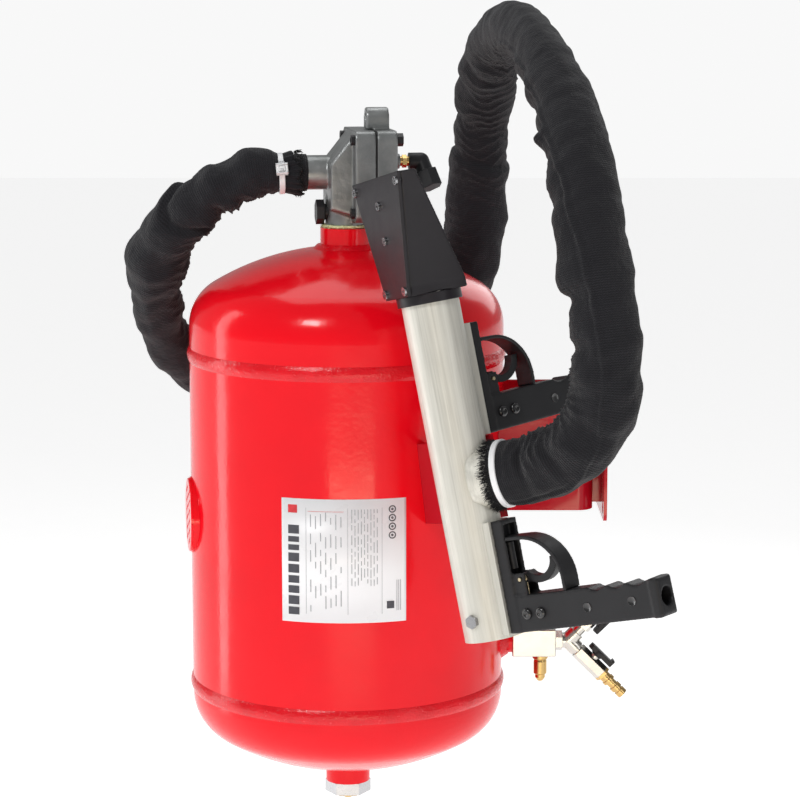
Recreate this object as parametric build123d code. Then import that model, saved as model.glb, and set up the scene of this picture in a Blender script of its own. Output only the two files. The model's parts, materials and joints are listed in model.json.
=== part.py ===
from build123d import *
import os
from math import atan2, cos, degrees, pi, radians, sin, sqrt

# Bead seater blaster tank: a wall-bracketed air receiver with a quick-release valve on its
# neck, a sleeved blast hose and a two-handled discharge gun. Millimetres, +Z up.
# The origin is the centre of the column plate's outer face, and +X points into the column.

# ---- driving dimensions ---------------------------------------------------------------
TANK_D = 280.0                  # receiver outside diameter
TANK_WALL = 3.0
SEAM_GAP = 298.0                # between the two seam welds
TOP_FLANGE, BOTTOM_FLANGE = 25.0, 10.0     # straight flange of each dished head
TANK_X = -230.0                 # tank axis, from the column plate
UPPER_SEAM_Z = 92.0

ARM_WIDTH, ARM_HEIGHT, ARM_MID_Z = 80.0, 105.0, 8.0
ARM_SHEET, ARM_BEND = 4.0, 14.0
PLATE_WIDTH, PLATE_HEIGHT, PLATE_THICK = 110.0, 104.0, 3.0
PAD_THICK = 8.0
BOLT_SPACING_Y, BOLT_SPACING_Z, BOLT_HOLE_R = 88.0, 82.0, 5.5

NECK_R, NECK_BORE, NECK_TOP_Z = 23.0, 17.0, 203.3
DRAIN_SOCKET_R, DRAIN_SOCKET_BORE, DRAIN_SOCKET_END = 20.0, 13.0, -303.5
DRAIN_PLUG_END, DRAIN_THREAD_R = -314.5, 3.0
SIDE_SOCKET_R, SIDE_SOCKET_BORE, SIDE_SOCKET_END = 11.0, 7.0, 149.5
VALVE_Z, VALVE_YAW = 250.0, 9.0
OUTLET_R, OUTLET_BORE, OUTLET_END = 15.2, 12.5, -37.0

MANIFOLD_Z = -173.3
BRANCH_X = 200.5                # branch centre, from the tank axis
BALL_VALVE_AF, BALL_VALVE_LENGTH = 13.0, 30.0

BARREL_R, BARREL_BORE, BARREL_LENGTH = 24.0, 22.0, 291.0
BARREL_FOOT = (125.1, -215.0, -114.6)     # from the tank axis at z = 0
BARREL_AXIS = (-0.188, 0.123, 0.9745)
INLET_TURN, INLET_Z, INLET_FACE = -23.0, 132.0, 30.0
HANDLES = {"lower": (-40.0, 3.0), "upper": (40.0, 165.0)}     # turn round the barrel, height
HANDLE_END, GRIP_HEIGHT, GRIP_WIDTH, GRIP_RISE = 180.0, 30.0, 20.0, 1.5
RAIL_HEIGHT = 93.0
TRIGGER_PIVOT = (45.0, 43.6)
NOZZLE_TURN, NOZZLE_FOOT_Z, NOZZLE_TOP_Z = 21.0, 288.0, 388.0

HOSE_R = 27.0
TIE_WIDTH, TIE_THICK = 5.0, 1.3

TANK_R = TANK_D / 2
LOWER_SEAM_Z = UPPER_SEAM_Z - SEAM_GAP
HEAD_CROWN = 0.83 * TANK_D
HEAD_KNUCKLE = 0.154 * TANK_D
HEAD_RISE = sqrt((HEAD_CROWN - HEAD_KNUCKLE) ** 2 - (TANK_R - HEAD_KNUCKLE) ** 2)
TOP_Z = UPPER_SEAM_Z + TOP_FLANGE - HEAD_RISE + HEAD_CROWN
BOTTOM_Z = LOWER_SEAM_Z - BOTTOM_FLANGE + HEAD_RISE - HEAD_CROWN

ON_BASE = (Align.CENTER, Align.CENTER, Align.MIN)
TANK = Pos(TANK_X, 0, 0)
VALVE = Pos(TANK_X, 0, VALVE_Z) * Rot(0, 0, VALVE_YAW)


# ---- shared shapes --------------------------------------------------------------------
def rod(start, end, radius):
    """A round bar between two points."""
    start, end = Vector(*start), Vector(*end)
    return Plane(origin=start, z_dir=end - start) * Cylinder(radius, (end - start).length, align=ON_BASE)


def tube(radius, bore, z_low, z_high):
    """An upright ring."""
    height = z_high - z_low
    outer = Cylinder(radius, height, align=ON_BASE)
    return Pos(0, 0, z_low) * (outer - Cylinder(bore, height, align=ON_BASE))


def hexagon(start, end, across_flats):
    """A hexagonal bar between two points."""
    start, end = Vector(*start), Vector(*end)
    outline = RegularPolygon(across_flats / 2, 6, major_radius=False)
    return Plane(origin=start, z_dir=end - start) * extrude(outline, (end - start).length)


def block(x, y, z):
    """A box from its (low, high) limits."""
    size = [limit[1] - limit[0] for limit in (x, y, z)]
    middle = [(limit[1] + limit[0]) / 2 for limit in (x, y, z)]
    return Pos(*middle) * Box(*size)


def polar(centre, radius, angle):
    return (centre[0] + radius * cos(radians(angle)), centre[1] + radius * sin(radians(angle)))


def arc(centre, radius, start, end):
    """A flat arc between two angles in degrees."""
    angles = (start, (start + end) / 2, end)
    return ThreePointArc(*[polar(centre, radius, angle) for angle in angles])


def slab(outline, width):
    """An XZ outline given its width along Y."""
    return extrude(Plane.XZ * outline, width / 2, both=True)


def turned(points):
    """A turned shape from an (r, z) outline."""
    return revolve(Plane.XZ * make_face(Polyline(*points, close=True)), Axis.Z)


def weld_ring(radius, height, rise):
    """A seam weld: a flat-backed ring with a crowned face."""
    crown = ThreePointArc((radius, -height / 2), (radius + rise, 0), (radius, height / 2))
    back = Line((radius, height / 2), (radius, -height / 2))
    return revolve(Plane.XZ * make_face([crown, back]), Axis.Z)


# ---- receiver -------------------------------------------------------------------------
def head_curve(flange, inset):
    """The dished head's profile at a depth below its outer face, from the axis outwards."""
    knuckle_centre = (TANK_R - HEAD_KNUCKLE, flange)
    crown_centre = (0, flange - HEAD_RISE)
    meet = degrees(atan2(HEAD_RISE, TANK_R - HEAD_KNUCKLE))
    return [
        arc(crown_centre, HEAD_CROWN - inset, 90, meet),
        arc(knuckle_centre, HEAD_KNUCKLE - inset, meet, 0),
        Line((TANK_R - inset, flange), (TANK_R - inset, 0)),
    ]


def dished_head(flange, opening):
    outer, inner = head_curve(flange, 0), head_curve(flange, TANK_WALL)
    depth = flange - HEAD_RISE + HEAD_CROWN
    rim = Line((TANK_R, 0), (TANK_R - TANK_WALL, 0))
    axis = Line((0, depth - TANK_WALL), (0, depth))
    shell = revolve(Plane.XZ * make_face(outer + [rim] + inner + [axis]), Axis.Z)
    return shell - Cylinder(opening, 4 * depth)


def tank_shell():
    shell = tube(TANK_R, TANK_R - TANK_WALL, LOWER_SEAM_Z, UPPER_SEAM_Z)
    inlet = rod((TANK_R - 20, 0, MANIFOLD_Z), (TANK_R + 20, 0, MANIFOLD_Z), SIDE_SOCKET_BORE)
    return TANK * (shell - inlet)


def top_dome():
    return TANK * Pos(0, 0, UPPER_SEAM_Z) * dished_head(TOP_FLANGE, NECK_R)


def bottom_dome():
    return TANK * Pos(0, 0, LOWER_SEAM_Z) * Rot(180, 0, 0) * dished_head(BOTTOM_FLANGE, DRAIN_SOCKET_R)


def crown_height(flange, radius):
    """The head's outer surface above its seam, at a radius inside the knuckle."""
    return flange - HEAD_RISE + sqrt(HEAD_CROWN ** 2 - radius ** 2)


def head_fillet(flange, radius, width, height):
    """The weld round a socket that stands on a head's crown."""
    foot, middle, toe = [(r, crown_height(flange, r)) for r in (radius, radius + width / 2, radius + width)]
    shoulder = (radius + 0.45 * width, foot[1] + 0.75 * height)
    top = (radius, foot[1] + height)
    seat = ThreePointArc(foot, middle, toe)
    face = make_face([seat, Line(toe, shoulder), Line(shoulder, top), Line(top, foot)])
    return revolve(Plane.XZ * face, Axis.Z)


def weld_beads():
    """The two seam welds, and the fillets at the neck, the drain and the air inlet."""
    seams = [TANK * Pos(0, 0, z) * weld_ring(TANK_R, 13, 2.2) for z in (UPPER_SEAM_Z, LOWER_SEAM_Z)]
    neck = TANK * Pos(0, 0, UPPER_SEAM_Z) * head_fillet(TOP_FLANGE, NECK_R, 6.5, 3.5)
    drain = head_fillet(BOTTOM_FLANGE, DRAIN_SOCKET_R, 5, 4)
    drain = TANK * Pos(0, 0, LOWER_SEAM_Z) * Rot(180, 0, 0) * drain
    inlet = Plane(origin=(TANK_R - 4, 0, MANIFOLD_Z), z_dir=(1, 0, 0)) * Cone(19, 12, 10, align=ON_BASE)
    inlet = inlet - Cylinder(TANK_R, 800) - rod((0, 0, MANIFOLD_Z), (300, 0, MANIFOLD_Z), SIDE_SOCKET_R)
    return Compound(seams + [neck, drain, TANK * inlet])


def neck_socket():
    return TANK * tube(NECK_R, NECK_BORE, TOP_Z - 8, NECK_TOP_Z)


def drain_socket():
    return TANK * tube(DRAIN_SOCKET_R, DRAIN_SOCKET_BORE, DRAIN_SOCKET_END, BOTTOM_Z + 6)


def drain_plug():
    head = hexagon((0, 0, DRAIN_SOCKET_END), (0, 0, DRAIN_PLUG_END), 36)
    stem = tube(DRAIN_SOCKET_BORE, 8, DRAIN_SOCKET_END, DRAIN_SOCKET_END + 16)
    thread = Pos(0, 0, DRAIN_PLUG_END) * Cylinder(DRAIN_THREAD_R + 0.05, 40, align=ON_BASE)
    return TANK * (head + stem - thread)


def drain_screw():
    """The thumb screw that is turned to let the condensate out."""
    thread = tube(DRAIN_THREAD_R, 1.0, DRAIN_PLUG_END - 1, DRAIN_SOCKET_END + 8)
    knob = tube(3.8, 1.0, DRAIN_PLUG_END - 6, DRAIN_PLUG_END - 0.5)
    wing = block((-8, 8), (-0.9, 0.9), (DRAIN_PLUG_END - 6, DRAIN_PLUG_END - 1.5))
    bore = Pos(0, 0, DRAIN_PLUG_END) * Cylinder(1.0, 40)
    return TANK * (thread + knob + wing - bore)


PORT_Z, PORT_TURN, PORT_R = -52.0, 189.0, 34.0
PORT_SEAT, PORT_FACE = 141.0, 143.2


def side_boss():
    """The low round seat on the tank's left side."""
    seat = rod((TANK_R - 15, 0, PORT_Z), (PORT_SEAT, 0, PORT_Z), PORT_R)
    return TANK * Rot(0, 0, PORT_TURN) * (seat - Cylinder(TANK_R, 800))


def slotted_cover():
    """The pressed disc on that seat, with two columns of slanted slots and two rim notches."""
    disc = rod((PORT_SEAT, 0, PORT_Z), (PORT_FACE, 0, PORT_Z), PORT_R - 1)
    disc = chamfer(disc.faces().sort_by(Axis.X)[-1].edges(), 0.8)
    slot = Box(1.6, 17, 2.6)
    for row in range(6):
        for side in (-1, 1):
            place = Pos(PORT_FACE, 11 * side, PORT_Z + 8.6 * (row - 2.5)) * Rot(28, 0, 0)
            disc = disc - place * slot
    for side in (-1, 1):
        disc = disc - Pos(PORT_FACE, side * (PORT_R - 1), PORT_Z) * Box(5, 3, 5)
    return TANK * Rot(0, 0, PORT_TURN) * disc


LABEL_HALF_WIDTH, LABEL_LOW, LABEL_HIGH = 52.8, -122.0, -14.5


def tank_label():
    sleeve = tube(TANK_R + 0.4, TANK_R, LABEL_LOW, LABEL_HIGH)
    front = block((-LABEL_HALF_WIDTH, LABEL_HALF_WIDTH), (-TANK_R - 5, 0), (LABEL_LOW, LABEL_HIGH))
    return TANK * (sleeve & front)


# ---- column bracket -------------------------------------------------------------------
WEB_X = -PLATE_THICK - PAD_THICK


def bracket_arm():
    """A sheet bent into a U, welded to the tank by its two open edges."""
    half = ARM_WIDTH / 2
    outer = Pos(WEB_X - 75, 0) * Rectangle(150, ARM_WIDTH)
    outer = fillet(outer.vertices().sort_by(Axis.X)[-2:], ARM_BEND)
    inner = Pos(WEB_X - ARM_SHEET - 75, 0) * Rectangle(150, 2 * (half - ARM_SHEET))
    inner = fillet(inner.vertices().sort_by(Axis.X)[-2:], ARM_BEND - ARM_SHEET)
    sheet = Pos(0, 0, ARM_MID_Z - ARM_HEIGHT / 2) * extrude(outer - inner, ARM_HEIGHT)
    return sheet - TANK * Cylinder(TANK_R, 900)


def bracket_pads():
    strips = []
    for side in (-1, 1):
        y = sorted((10 * side, 24 * side))
        strips.append(block((WEB_X, -PLATE_THICK), y, (-40, 46)))
    return Compound(strips)


def column_plate():
    half_y, half_z = PLATE_WIDTH / 2, PLATE_HEIGHT / 2
    plate = block((-PLATE_THICK, 0), (-half_y, half_y), (-half_z, half_z))
    plate = fillet(plate.edges().filter_by(Axis.X), 6)
    for y in (-BOLT_SPACING_Y / 2, BOLT_SPACING_Y / 2):
        for z in (-BOLT_SPACING_Z / 2, BOLT_SPACING_Z / 2):
            plate = plate - rod((-20, y, z), (20, y, z), BOLT_HOLE_R)
    return plate


# ---- air inlet manifold, along +X from the tank axis ------------------------------------
BLOCK_END = 188.9
RELIEF_X = 175.3
LOWER_WAY = Vector(1, 0, -1).normalized()
UPPER_WAY = Vector(1, 0, 1).normalized()
BRANCH = Vector(BRANCH_X, 0, MANIFOLD_Z)
VALVE_STARTS = {"lower": 13.0, "upper": 18.0}


def along(way, distance):
    return BRANCH + way * distance


def side_socket():
    start = (TANK_R - 14, 0, MANIFOLD_Z)
    socket = rod(start, (SIDE_SOCKET_END, 0, MANIFOLD_Z), SIDE_SOCKET_R) - Cylinder(TANK_R, 800)
    nipple = rod((TANK_R - 8, 0, MANIFOLD_Z), (SIDE_SOCKET_END, 0, MANIFOLD_Z), SIDE_SOCKET_BORE)
    bore = rod((0, 0, MANIFOLD_Z), (SIDE_SOCKET_END + 1, 0, MANIFOLD_Z), 4)
    return TANK * (socket + nipple - bore)


def manifold_block():
    half = 12.5
    body = block((SIDE_SOCKET_END, BLOCK_END), (-half, half), (MANIFOLD_Z - half, MANIFOLD_Z + half))
    body = chamfer(body.edges(), 0.8)
    body = body - rod((100, 0, MANIFOLD_Z), (300, 0, MANIFOLD_Z), 4)
    return TANK * (body - rod((RELIEF_X, 0, MANIFOLD_Z), (RELIEF_X, 0, MANIFOLD_Z - 20), 3.5))


def relief_valve():
    """The brass pop-off valve under the block."""
    top = MANIFOLD_Z - 12.5
    body = turned([(2.5, top), (7, top), (7, top - 4), (5.6, top - 5), (6, top - 7), (6, top - 18),
                   (4.6, top - 19), (4.6, top - 22), (2.5, top - 25)])
    stem = tube(3.5, 2.5, top, top + 9)
    core = tube(2.5, 1.0, top - 25, top - 6)
    hole = rod((-20, 0, top - 9), (20, 0, top - 9), 1.0)
    return TANK * Pos(RELIEF_X, 0, 0) * (body + stem + core - hole)


def branch_fitting():
    """A hex-shouldered Y that splits the inlet between the two shut-off valves."""
    shoulder = hexagon((BLOCK_END, 0, MANIFOLD_Z), (BLOCK_END + 6, 0, MANIFOLD_Z), 16)
    fitting = shoulder + rod((BLOCK_END + 5, 0, MANIFOLD_Z), (BRANCH_X, 0, MANIFOLD_Z), 7)
    fitting = fitting + Pos(*BRANCH) * Sphere(7.4)
    for side, way in (("lower", LOWER_WAY), ("upper", UPPER_WAY)):
        fitting = fitting + rod(along(way, 0), along(way, 11), 7.4)
        fitting = fitting + rod(along(way, 10), along(way, VALVE_STARTS[side]), 5.2)
    fitting = fitting - rod((BLOCK_END - 1, 0, MANIFOLD_Z), BRANCH, 4)
    for way in (LOWER_WAY, UPPER_WAY):
        fitting = fitting - rod(along(way, 0), along(way, 25), 3.5)
    return TANK * fitting


BALL_R, STEM_R = 4.5, 2.0


def on_shutoff(side, shape):
    """Places a shape whose x runs with the flow and whose z points to the lever."""
    ways = (LOWER_WAY, UPPER_WAY) if side == "lower" else (UPPER_WAY, LOWER_WAY)
    middle = BRANCH + ways[0] * (VALVE_STARTS[side] + BALL_VALVE_LENGTH / 2)
    return TANK * (Plane(origin=middle, x_dir=ways[0], z_dir=ways[1]) * shape)


def shutoff_body(side):
    """A mini ball valve body: a hexagon with a bored seat for the ball and the stem."""
    half = BALL_VALVE_LENGTH / 2
    body = hexagon((-half, 0, 0), (half, 0, 0), BALL_VALVE_AF) + rod((0, 0, 0), (0, 0, 8), 4)
    body = body - rod((-half - 1, 0, 0), (half + 1, 0, 0), 3) - rod((-5, 0, 0), (5, 0, 0), BALL_R + 0.05)
    return on_shutoff(side, body - rod((0, 0, 0), (0, 0, 9), STEM_R + 0.05))


def ball_stem(side):
    ball = Rot(0, 0, 90) * Sphere(BALL_R) - rod((-9, 0, 0), (9, 0, 0), 2.8)
    return on_shutoff(side, ball + rod((0, 0, 3.6), (0, 0, 11.5), STEM_R))


def valve_lever(side):
    """The flat moulded lever, in line with the flow when open."""
    hub = Cylinder(5.4, 4.5, align=ON_BASE)
    blade = Pos(3, 0, 3.6) * Box(27, 9.5, 4.6)
    blade = fillet(blade.edges().filter_by(Axis.Z), 3)
    lip = Pos(15, 0, 4.6) * Box(2.4, 9.5, 6.6)
    lever = hub + blade + lip - Cylinder(STEM_R, 3.2, align=ON_BASE)
    return on_shutoff(side, Pos(0, 0, 8.3) * lever)


def quick_plug():
    """The brass coupling plug that takes the shop air line."""
    start = VALVE_STARTS["lower"] + BALL_VALVE_LENGTH
    steps = ((3, 8, 5.0), (8, 11, 5.8), (11, 17, 4.2), (17, 21, 5.2), (21, 23, 4.0), (23, 28, 4.9))
    plug = hexagon(along(LOWER_WAY, start), along(LOWER_WAY, start + 3), 13)
    for low, high, radius in steps:
        plug = plug + rod(along(LOWER_WAY, start + low), along(LOWER_WAY, start + high), radius)
    return TANK * (plug - rod(along(LOWER_WAY, start - 1), along(LOWER_WAY, start + 40), 2.8))


def spare_outlet():
    """The capped brass stub on the upper shut-off valve."""
    start = VALVE_STARTS["upper"] + BALL_VALVE_LENGTH
    stub = hexagon(along(UPPER_WAY, start), along(UPPER_WAY, start + 6), 12)
    return TANK * (stub + rod(along(UPPER_WAY, start + 5), along(UPPER_WAY, start + 10), 4.5))


# ---- quick-release valve; its own x runs from the outlet towards the cover ----------------
FUNNEL_X, FLANGE_X, JOINT_X, COVER_X, COVER_END = -17.0, 3.0, 21.0, 22.0, 40.0
FLANGE_HALF_Y, FLANGE_HALF_Z, FLANGE_CORNER = 42.0, 40.0, 8.0
CHAMBER_X, CHAMBER_R, SEAT_X = 5.0, 29.0, 14.0
BOSS_R, BOSS_BORE, BOSS_BOTTOM = 18.5, 13.5, NECK_TOP_Z - VALVE_Z
OUTLET_Z = 2.0
PILOT_Z = 11.0
COVER_BOLTS = [(y, z) for y in (-34, 34) for z in (-32, 32)]


def square_plate(x_low, x_high, opening=0):
    outline = RectangleRounded(2 * FLANGE_HALF_Y, 2 * FLANGE_HALF_Z, FLANGE_CORNER)
    plate = Plane(origin=(x_low, 0, 0), x_dir=(0, 1, 0), z_dir=(1, 0, 0)) * extrude(outline, x_high - x_low)
    if opening:
        plate = plate - rod((x_low - 1, 0, 0), (x_high + 1, 0, 0), opening)
    for y, z in COVER_BOLTS:
        plate = plate - rod((x_low - 1, y, z), (x_high + 1, y, z), 3)
    return plate


def funnel():
    """The tapered casting between the outlet pipe and the square flange."""
    def section(x, half_y, low, high):
        place = Plane(origin=(x, 0, (low + high) / 2), x_dir=(0, 1, 0), z_dir=(1, 0, 0))
        return place * RectangleRounded(2 * half_y, high - low, 4)
    return loft([section(FUNNEL_X, 28, -30, 12), section(FLANGE_X, 28.5, -36, 37)])


def valve_body():
    casting = funnel() + square_plate(FLANGE_X, JOINT_X)
    casting = casting + rod((OUTLET_END, 0, OUTLET_Z), (0, 0, OUTLET_Z), OUTLET_R)
    casting = casting + tube(BOSS_R, BOSS_BORE, BOSS_BOTTOM, -20)
    casting = casting + tube(NECK_BORE, BOSS_BORE, BOSS_BOTTOM - 18, BOSS_BOTTOM + 1)
    casting = casting - Pos(0, 0, BOSS_BOTTOM - 20) * Cylinder(BOSS_BORE, -BOSS_BOTTOM, align=ON_BASE)
    chamber = rod((CHAMBER_X, 0, 0), (JOINT_X + 1, 0, 0), CHAMBER_R)
    seat = rod((0, 0, OUTLET_Z), (SEAT_X, 0, OUTLET_Z), OUTLET_R)
    casting = casting - (chamber - seat)
    casting = casting - rod((OUTLET_END - 1, 0, OUTLET_Z), (SEAT_X + 1, 0, OUTLET_Z), OUTLET_BORE)
    casting = casting - port_plug_shape()
    return VALVE * casting


def port_plug_shape():
    middle = BOSS_BOTTOM + 13.8
    return hexagon((-27, 0, middle), (-20, 0, middle), 19) + rod((-21, 0, middle), (-15, 0, middle), 7)


def port_plug():
    return VALVE * port_plug_shape()


def cover_gasket():
    return VALVE * square_plate(JOINT_X, COVER_X, CHAMBER_R)


LUG_Y, LUG_Z, LUG_R = -9.0, FLANGE_HALF_Z + 9.9, 9.5


def valve_cover():
    """The cover with its pilot boss and its thick lifting eye."""
    cover = square_plate(COVER_X, COVER_END)
    cover = cover - rod((COVER_X - 1, 0, 0), (COVER_END - 5, 0, 0), CHAMBER_R)
    cover = cover + rod((COVER_END, 0, PILOT_Z), (COVER_END + 8, 0, PILOT_Z), 6.8)
    cover = cover - rod((COVER_END - 8, 0, PILOT_Z), (COVER_END + 9, 0, PILOT_Z), 3)
    start, end = COVER_X - 6, COVER_END - 4
    lug = rod((start, LUG_Y, LUG_Z), (end, LUG_Y, LUG_Z), LUG_R)
    lug = lug + block((start, end), (LUG_Y - LUG_R, LUG_Y + LUG_R), (FLANGE_HALF_Z + 0.3, LUG_Z))
    foot = block((COVER_X, end), (LUG_Y - LUG_R, LUG_Y + LUG_R), (FLANGE_HALF_Z - 2, FLANGE_HALF_Z + 1))
    lug = lug + foot - rod((start - 1, LUG_Y, LUG_Z), (end + 1, LUG_Y, LUG_Z), 4.6)
    return VALVE * (cover + lug)


def cover_bolts():
    """Socket screws through the flange and cover, each with its nut."""
    bolts = []
    for y, z in COVER_BOLTS:
        bolt = rod((FLANGE_X - 3.5, y, z), (FLANGE_X, y, z), 4.6)
        bolt = bolt - hexagon((FLANGE_X - 4, y, z), (FLANGE_X - 1.5, y, z), 5)
        bolt = bolt + rod((FLANGE_X - 1, y, z), (COVER_END + 1, y, z), 3)
        bolts.append(VALVE * (bolt + hexagon((COVER_END, y, z), (COVER_END + 5.5, y, z), 10)))
    return Compound(bolts)


def diaphragm():
    """The moving disc that shuts the outlet seat."""
    disc = rod((SEAT_X, 0, 0), (SEAT_X + 5, 0, 0), CHAMBER_R - 1)
    hub = rod((SEAT_X + 4, 0, 0), (SEAT_X + 7.5, 0, 0), 7)
    return VALVE * (disc + hub)


def diaphragm_spring():
    """Three closed turns of the return spring, against the back of the cover."""
    turns = []
    for turn in range(3):
        x = COVER_END - 6.3 - 2.6 * turn
        turns.append(VALVE * Pos(x, 0, 0) * Rot(0, 90, 0) * Torus(12, 1.2))
    return Compound(turns)


def pilot_fitting():
    x = COVER_END + 8
    body = rod((x - 6, 0, PILOT_Z), (x, 0, PILOT_Z), 3) + rod((x, 0, PILOT_Z), (x + 8, 0, PILOT_Z), 4.4)
    body = body + hexagon((x + 2, 0, PILOT_Z), (x + 6, 0, PILOT_Z), 10)
    return VALVE * (body - rod((x - 7, 0, PILOT_Z), (x + 9, 0, PILOT_Z), 1.8))


def pilot_elbow():
    """The moulded elbow that points the pilot line down beside the nozzle."""
    x = COVER_END + 16
    corner, tip = (x + 11, 0, PILOT_Z), (x + 19, -10, PILOT_Z - 23)
    elbow = rod((x, 0, PILOT_Z), corner, 7.5) + Pos(*corner) * Sphere(7.5) + rod(corner, tip, 7.5)
    collar = hexagon((x + 14.2, -4, PILOT_Z - 9.2), tip, 18)
    bore = rod((x - 1, 0, PILOT_Z), (x + 8, 0, PILOT_Z), 1.8)
    return VALVE * (elbow + collar - bore)


def sealing_tape():
    """The thread tape squeezed out between the neck and the valve."""
    top, edge = NECK_TOP_Z + 2.6, BOSS_R + 2.6
    ring = turned([(BOSS_R, NECK_TOP_Z), (edge, NECK_TOP_Z), (edge - 0.4, top - 0.6), (BOSS_R, top)])
    return TANK * ring


# ---- discharge gun, along its own z from the barrel's foot ---------------------------------
AXIS = Vector(*BARREL_AXIS).normalized()
GUN_X = (Vector(1, 0, 0) - AXIS * AXIS.X).normalized()
FOOT = Vector(*BARREL_FOOT) + Vector(TANK_X, 0, 0)
GUN = Plane(origin=FOOT, x_dir=GUN_X, z_dir=AXIS)
INLET = Rot(0, 0, INLET_TURN)
NOZZLE = Rot(0, 0, NOZZLE_TURN)
PLUG_SCREW_TURNS, PLUG_SCREW_Z = (-128.0, 52.0), 18.0


def barrel_tube():
    barrel = tube(BARREL_R, BARREL_BORE, 0, BARREL_LENGTH)
    barrel = barrel - INLET * rod((0, 0, INLET_Z), (60, 0, INLET_Z), 20)
    for turn in PLUG_SCREW_TURNS:
        barrel = barrel - Rot(0, 0, turn) * rod((0, 0, PLUG_SCREW_Z), (60, 0, PLUG_SCREW_Z), 2.5)
    return GUN * barrel


def barrel_plug():
    """The turned stopper that closes the barrel's foot."""
    stopper = tube(BARREL_BORE, 14, 4, 30) + Pos(0, 0, 24) * Cylinder(14, 6, align=ON_BASE)
    for turn in PLUG_SCREW_TURNS:
        stopper = stopper - Rot(0, 0, turn) * rod((15, 0, PLUG_SCREW_Z), (60, 0, PLUG_SCREW_Z), 2.5)
    return GUN * stopper


def barrel_screws():
    screws = []
    for turn in PLUG_SCREW_TURNS:
        shank = rod((15, 0, PLUG_SCREW_Z), (BARREL_R + 1, 0, PLUG_SCREW_Z), 2.5)
        head = hexagon((BARREL_R - 1, 0, PLUG_SCREW_Z), (BARREL_R + 3, 0, PLUG_SCREW_Z), 10)
        head = head - Cylinder(BARREL_R, 200)
        screws.append(GUN * (Rot(0, 0, turn) * (shank + head)))
    return Compound(screws)


def nozzle_collar():
    return GUN * tube(27, BARREL_R, 280, NOZZLE_FOOT_Z)


NOZZLE_BACK, NOZZLE_FRONT = 25.0, -25.0
NOZZLE_FOOT_HALF, NOZZLE_TOP_HALF = 25.0, 53.0
SLOT_DEPTH, NOZZLE_WALL, NOZZLE_SIDE = 10.5, 2.5, 6.0
NOZZLE_BAND = 8.0
NOZZLE_SCREWS = [(22, 293), (-22, 293), (48, 381), (-48, 381), (0, 336), (0, 365)]


def nozzle_section(z, back, half_width, front=NOZZLE_FRONT):
    place = Pos((front + back) / 2, 0, z)
    return place * Rectangle(back - front, 2 * half_width)


def nozzle_body():
    """The fan-shaped housing: square at the foot, a long narrow slot at the top."""
    shoulder = NOZZLE_FOOT_Z + NOZZLE_BAND
    top_back = NOZZLE_FRONT + SLOT_DEPTH + NOZZLE_WALL
    shell = block((NOZZLE_FRONT, NOZZLE_BACK), (-25, 25), (NOZZLE_FOOT_Z, shoulder))
    shell = shell + loft([nozzle_section(shoulder, NOZZLE_BACK, NOZZLE_FOOT_HALF),
                          nozzle_section(NOZZLE_TOP_Z, top_back, NOZZLE_TOP_HALF)])
    wall, side, front = NOZZLE_WALL, NOZZLE_SIDE, NOZZLE_FRONT - 1
    passage = loft([nozzle_section(shoulder, NOZZLE_BACK - wall, NOZZLE_FOOT_HALF - side, front),
                    nozzle_section(NOZZLE_TOP_Z, top_back - wall, NOZZLE_TOP_HALF - side, front)])
    shell = shell - passage - Cylinder(19, 2 * shoulder)
    shell = shell - Pos(0, 0, NOZZLE_FOOT_Z) * Cylinder(BARREL_R, 2 * (BARREL_LENGTH - NOZZLE_FOOT_Z))
    for y, z in NOZZLE_SCREWS[4:]:
        post = rod((NOZZLE_FRONT, y, z), (NOZZLE_BACK, y, z), 5)
        shell = shell + (post & loft([nozzle_section(shoulder, NOZZLE_BACK - 1, NOZZLE_FOOT_HALF),
                                      nozzle_section(NOZZLE_TOP_Z, top_back - 1, NOZZLE_TOP_HALF)]))
    for y, z in NOZZLE_SCREWS:
        shell = shell - rod((NOZZLE_FRONT - 1, y, z), (NOZZLE_FRONT + 8, y, z), 2)
    return GUN * (NOZZLE * shell)


def nozzle_plate():
    foot, top = NOZZLE_FOOT_HALF, NOZZLE_TOP_HALF + 0.5
    corners = [(-foot, NOZZLE_FOOT_Z), (foot, NOZZLE_FOOT_Z), (top, NOZZLE_TOP_Z), (-top, NOZZLE_TOP_Z)]
    outline = make_face(Polyline(*corners, close=True))
    plate = Plane(origin=(NOZZLE_FRONT - 3, 0, 0), x_dir=(0, 1, 0), z_dir=(1, 0, 0)) * extrude(outline, 3)
    for y, z in NOZZLE_SCREWS:
        plate = plate - rod((NOZZLE_FRONT - 4, y, z), (NOZZLE_FRONT + 1, y, z), 2)
    return GUN * (NOZZLE * plate)


def nozzle_screws():
    screws = []
    face = NOZZLE_FRONT - 3
    for y, z in NOZZLE_SCREWS:
        screw = rod((face - 2, y, z), (face, y, z), 3.6)
        screw = screw + rod((face - 1, y, z), (NOZZLE_FRONT + 8, y, z), 2)
        slot = Pos(face - 2, y, z) * Box(1.6, 0.9, 5) + Pos(face - 2, y, z) * Box(1.6, 5, 0.9)
        screws.append(GUN * (NOZZLE * (screw - slot)))
    return Compound(screws)


def inlet_flange():
    """The round saddle casting that carries the hose on the barrel."""
    saddle = rod((13, 0, INLET_Z), (INLET_FACE, 0, INLET_Z), 26.5) - Cylinder(BARREL_R, 900)
    spigot = rod((BARREL_BORE, 0, INLET_Z), (INLET_FACE, 0, INLET_Z), 20) - Cylinder(BARREL_BORE, 900)
    bore = rod((0, 0, INLET_Z), (60, 0, INLET_Z), 17)
    return GUN * (INLET * (saddle + spigot - bore))


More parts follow.
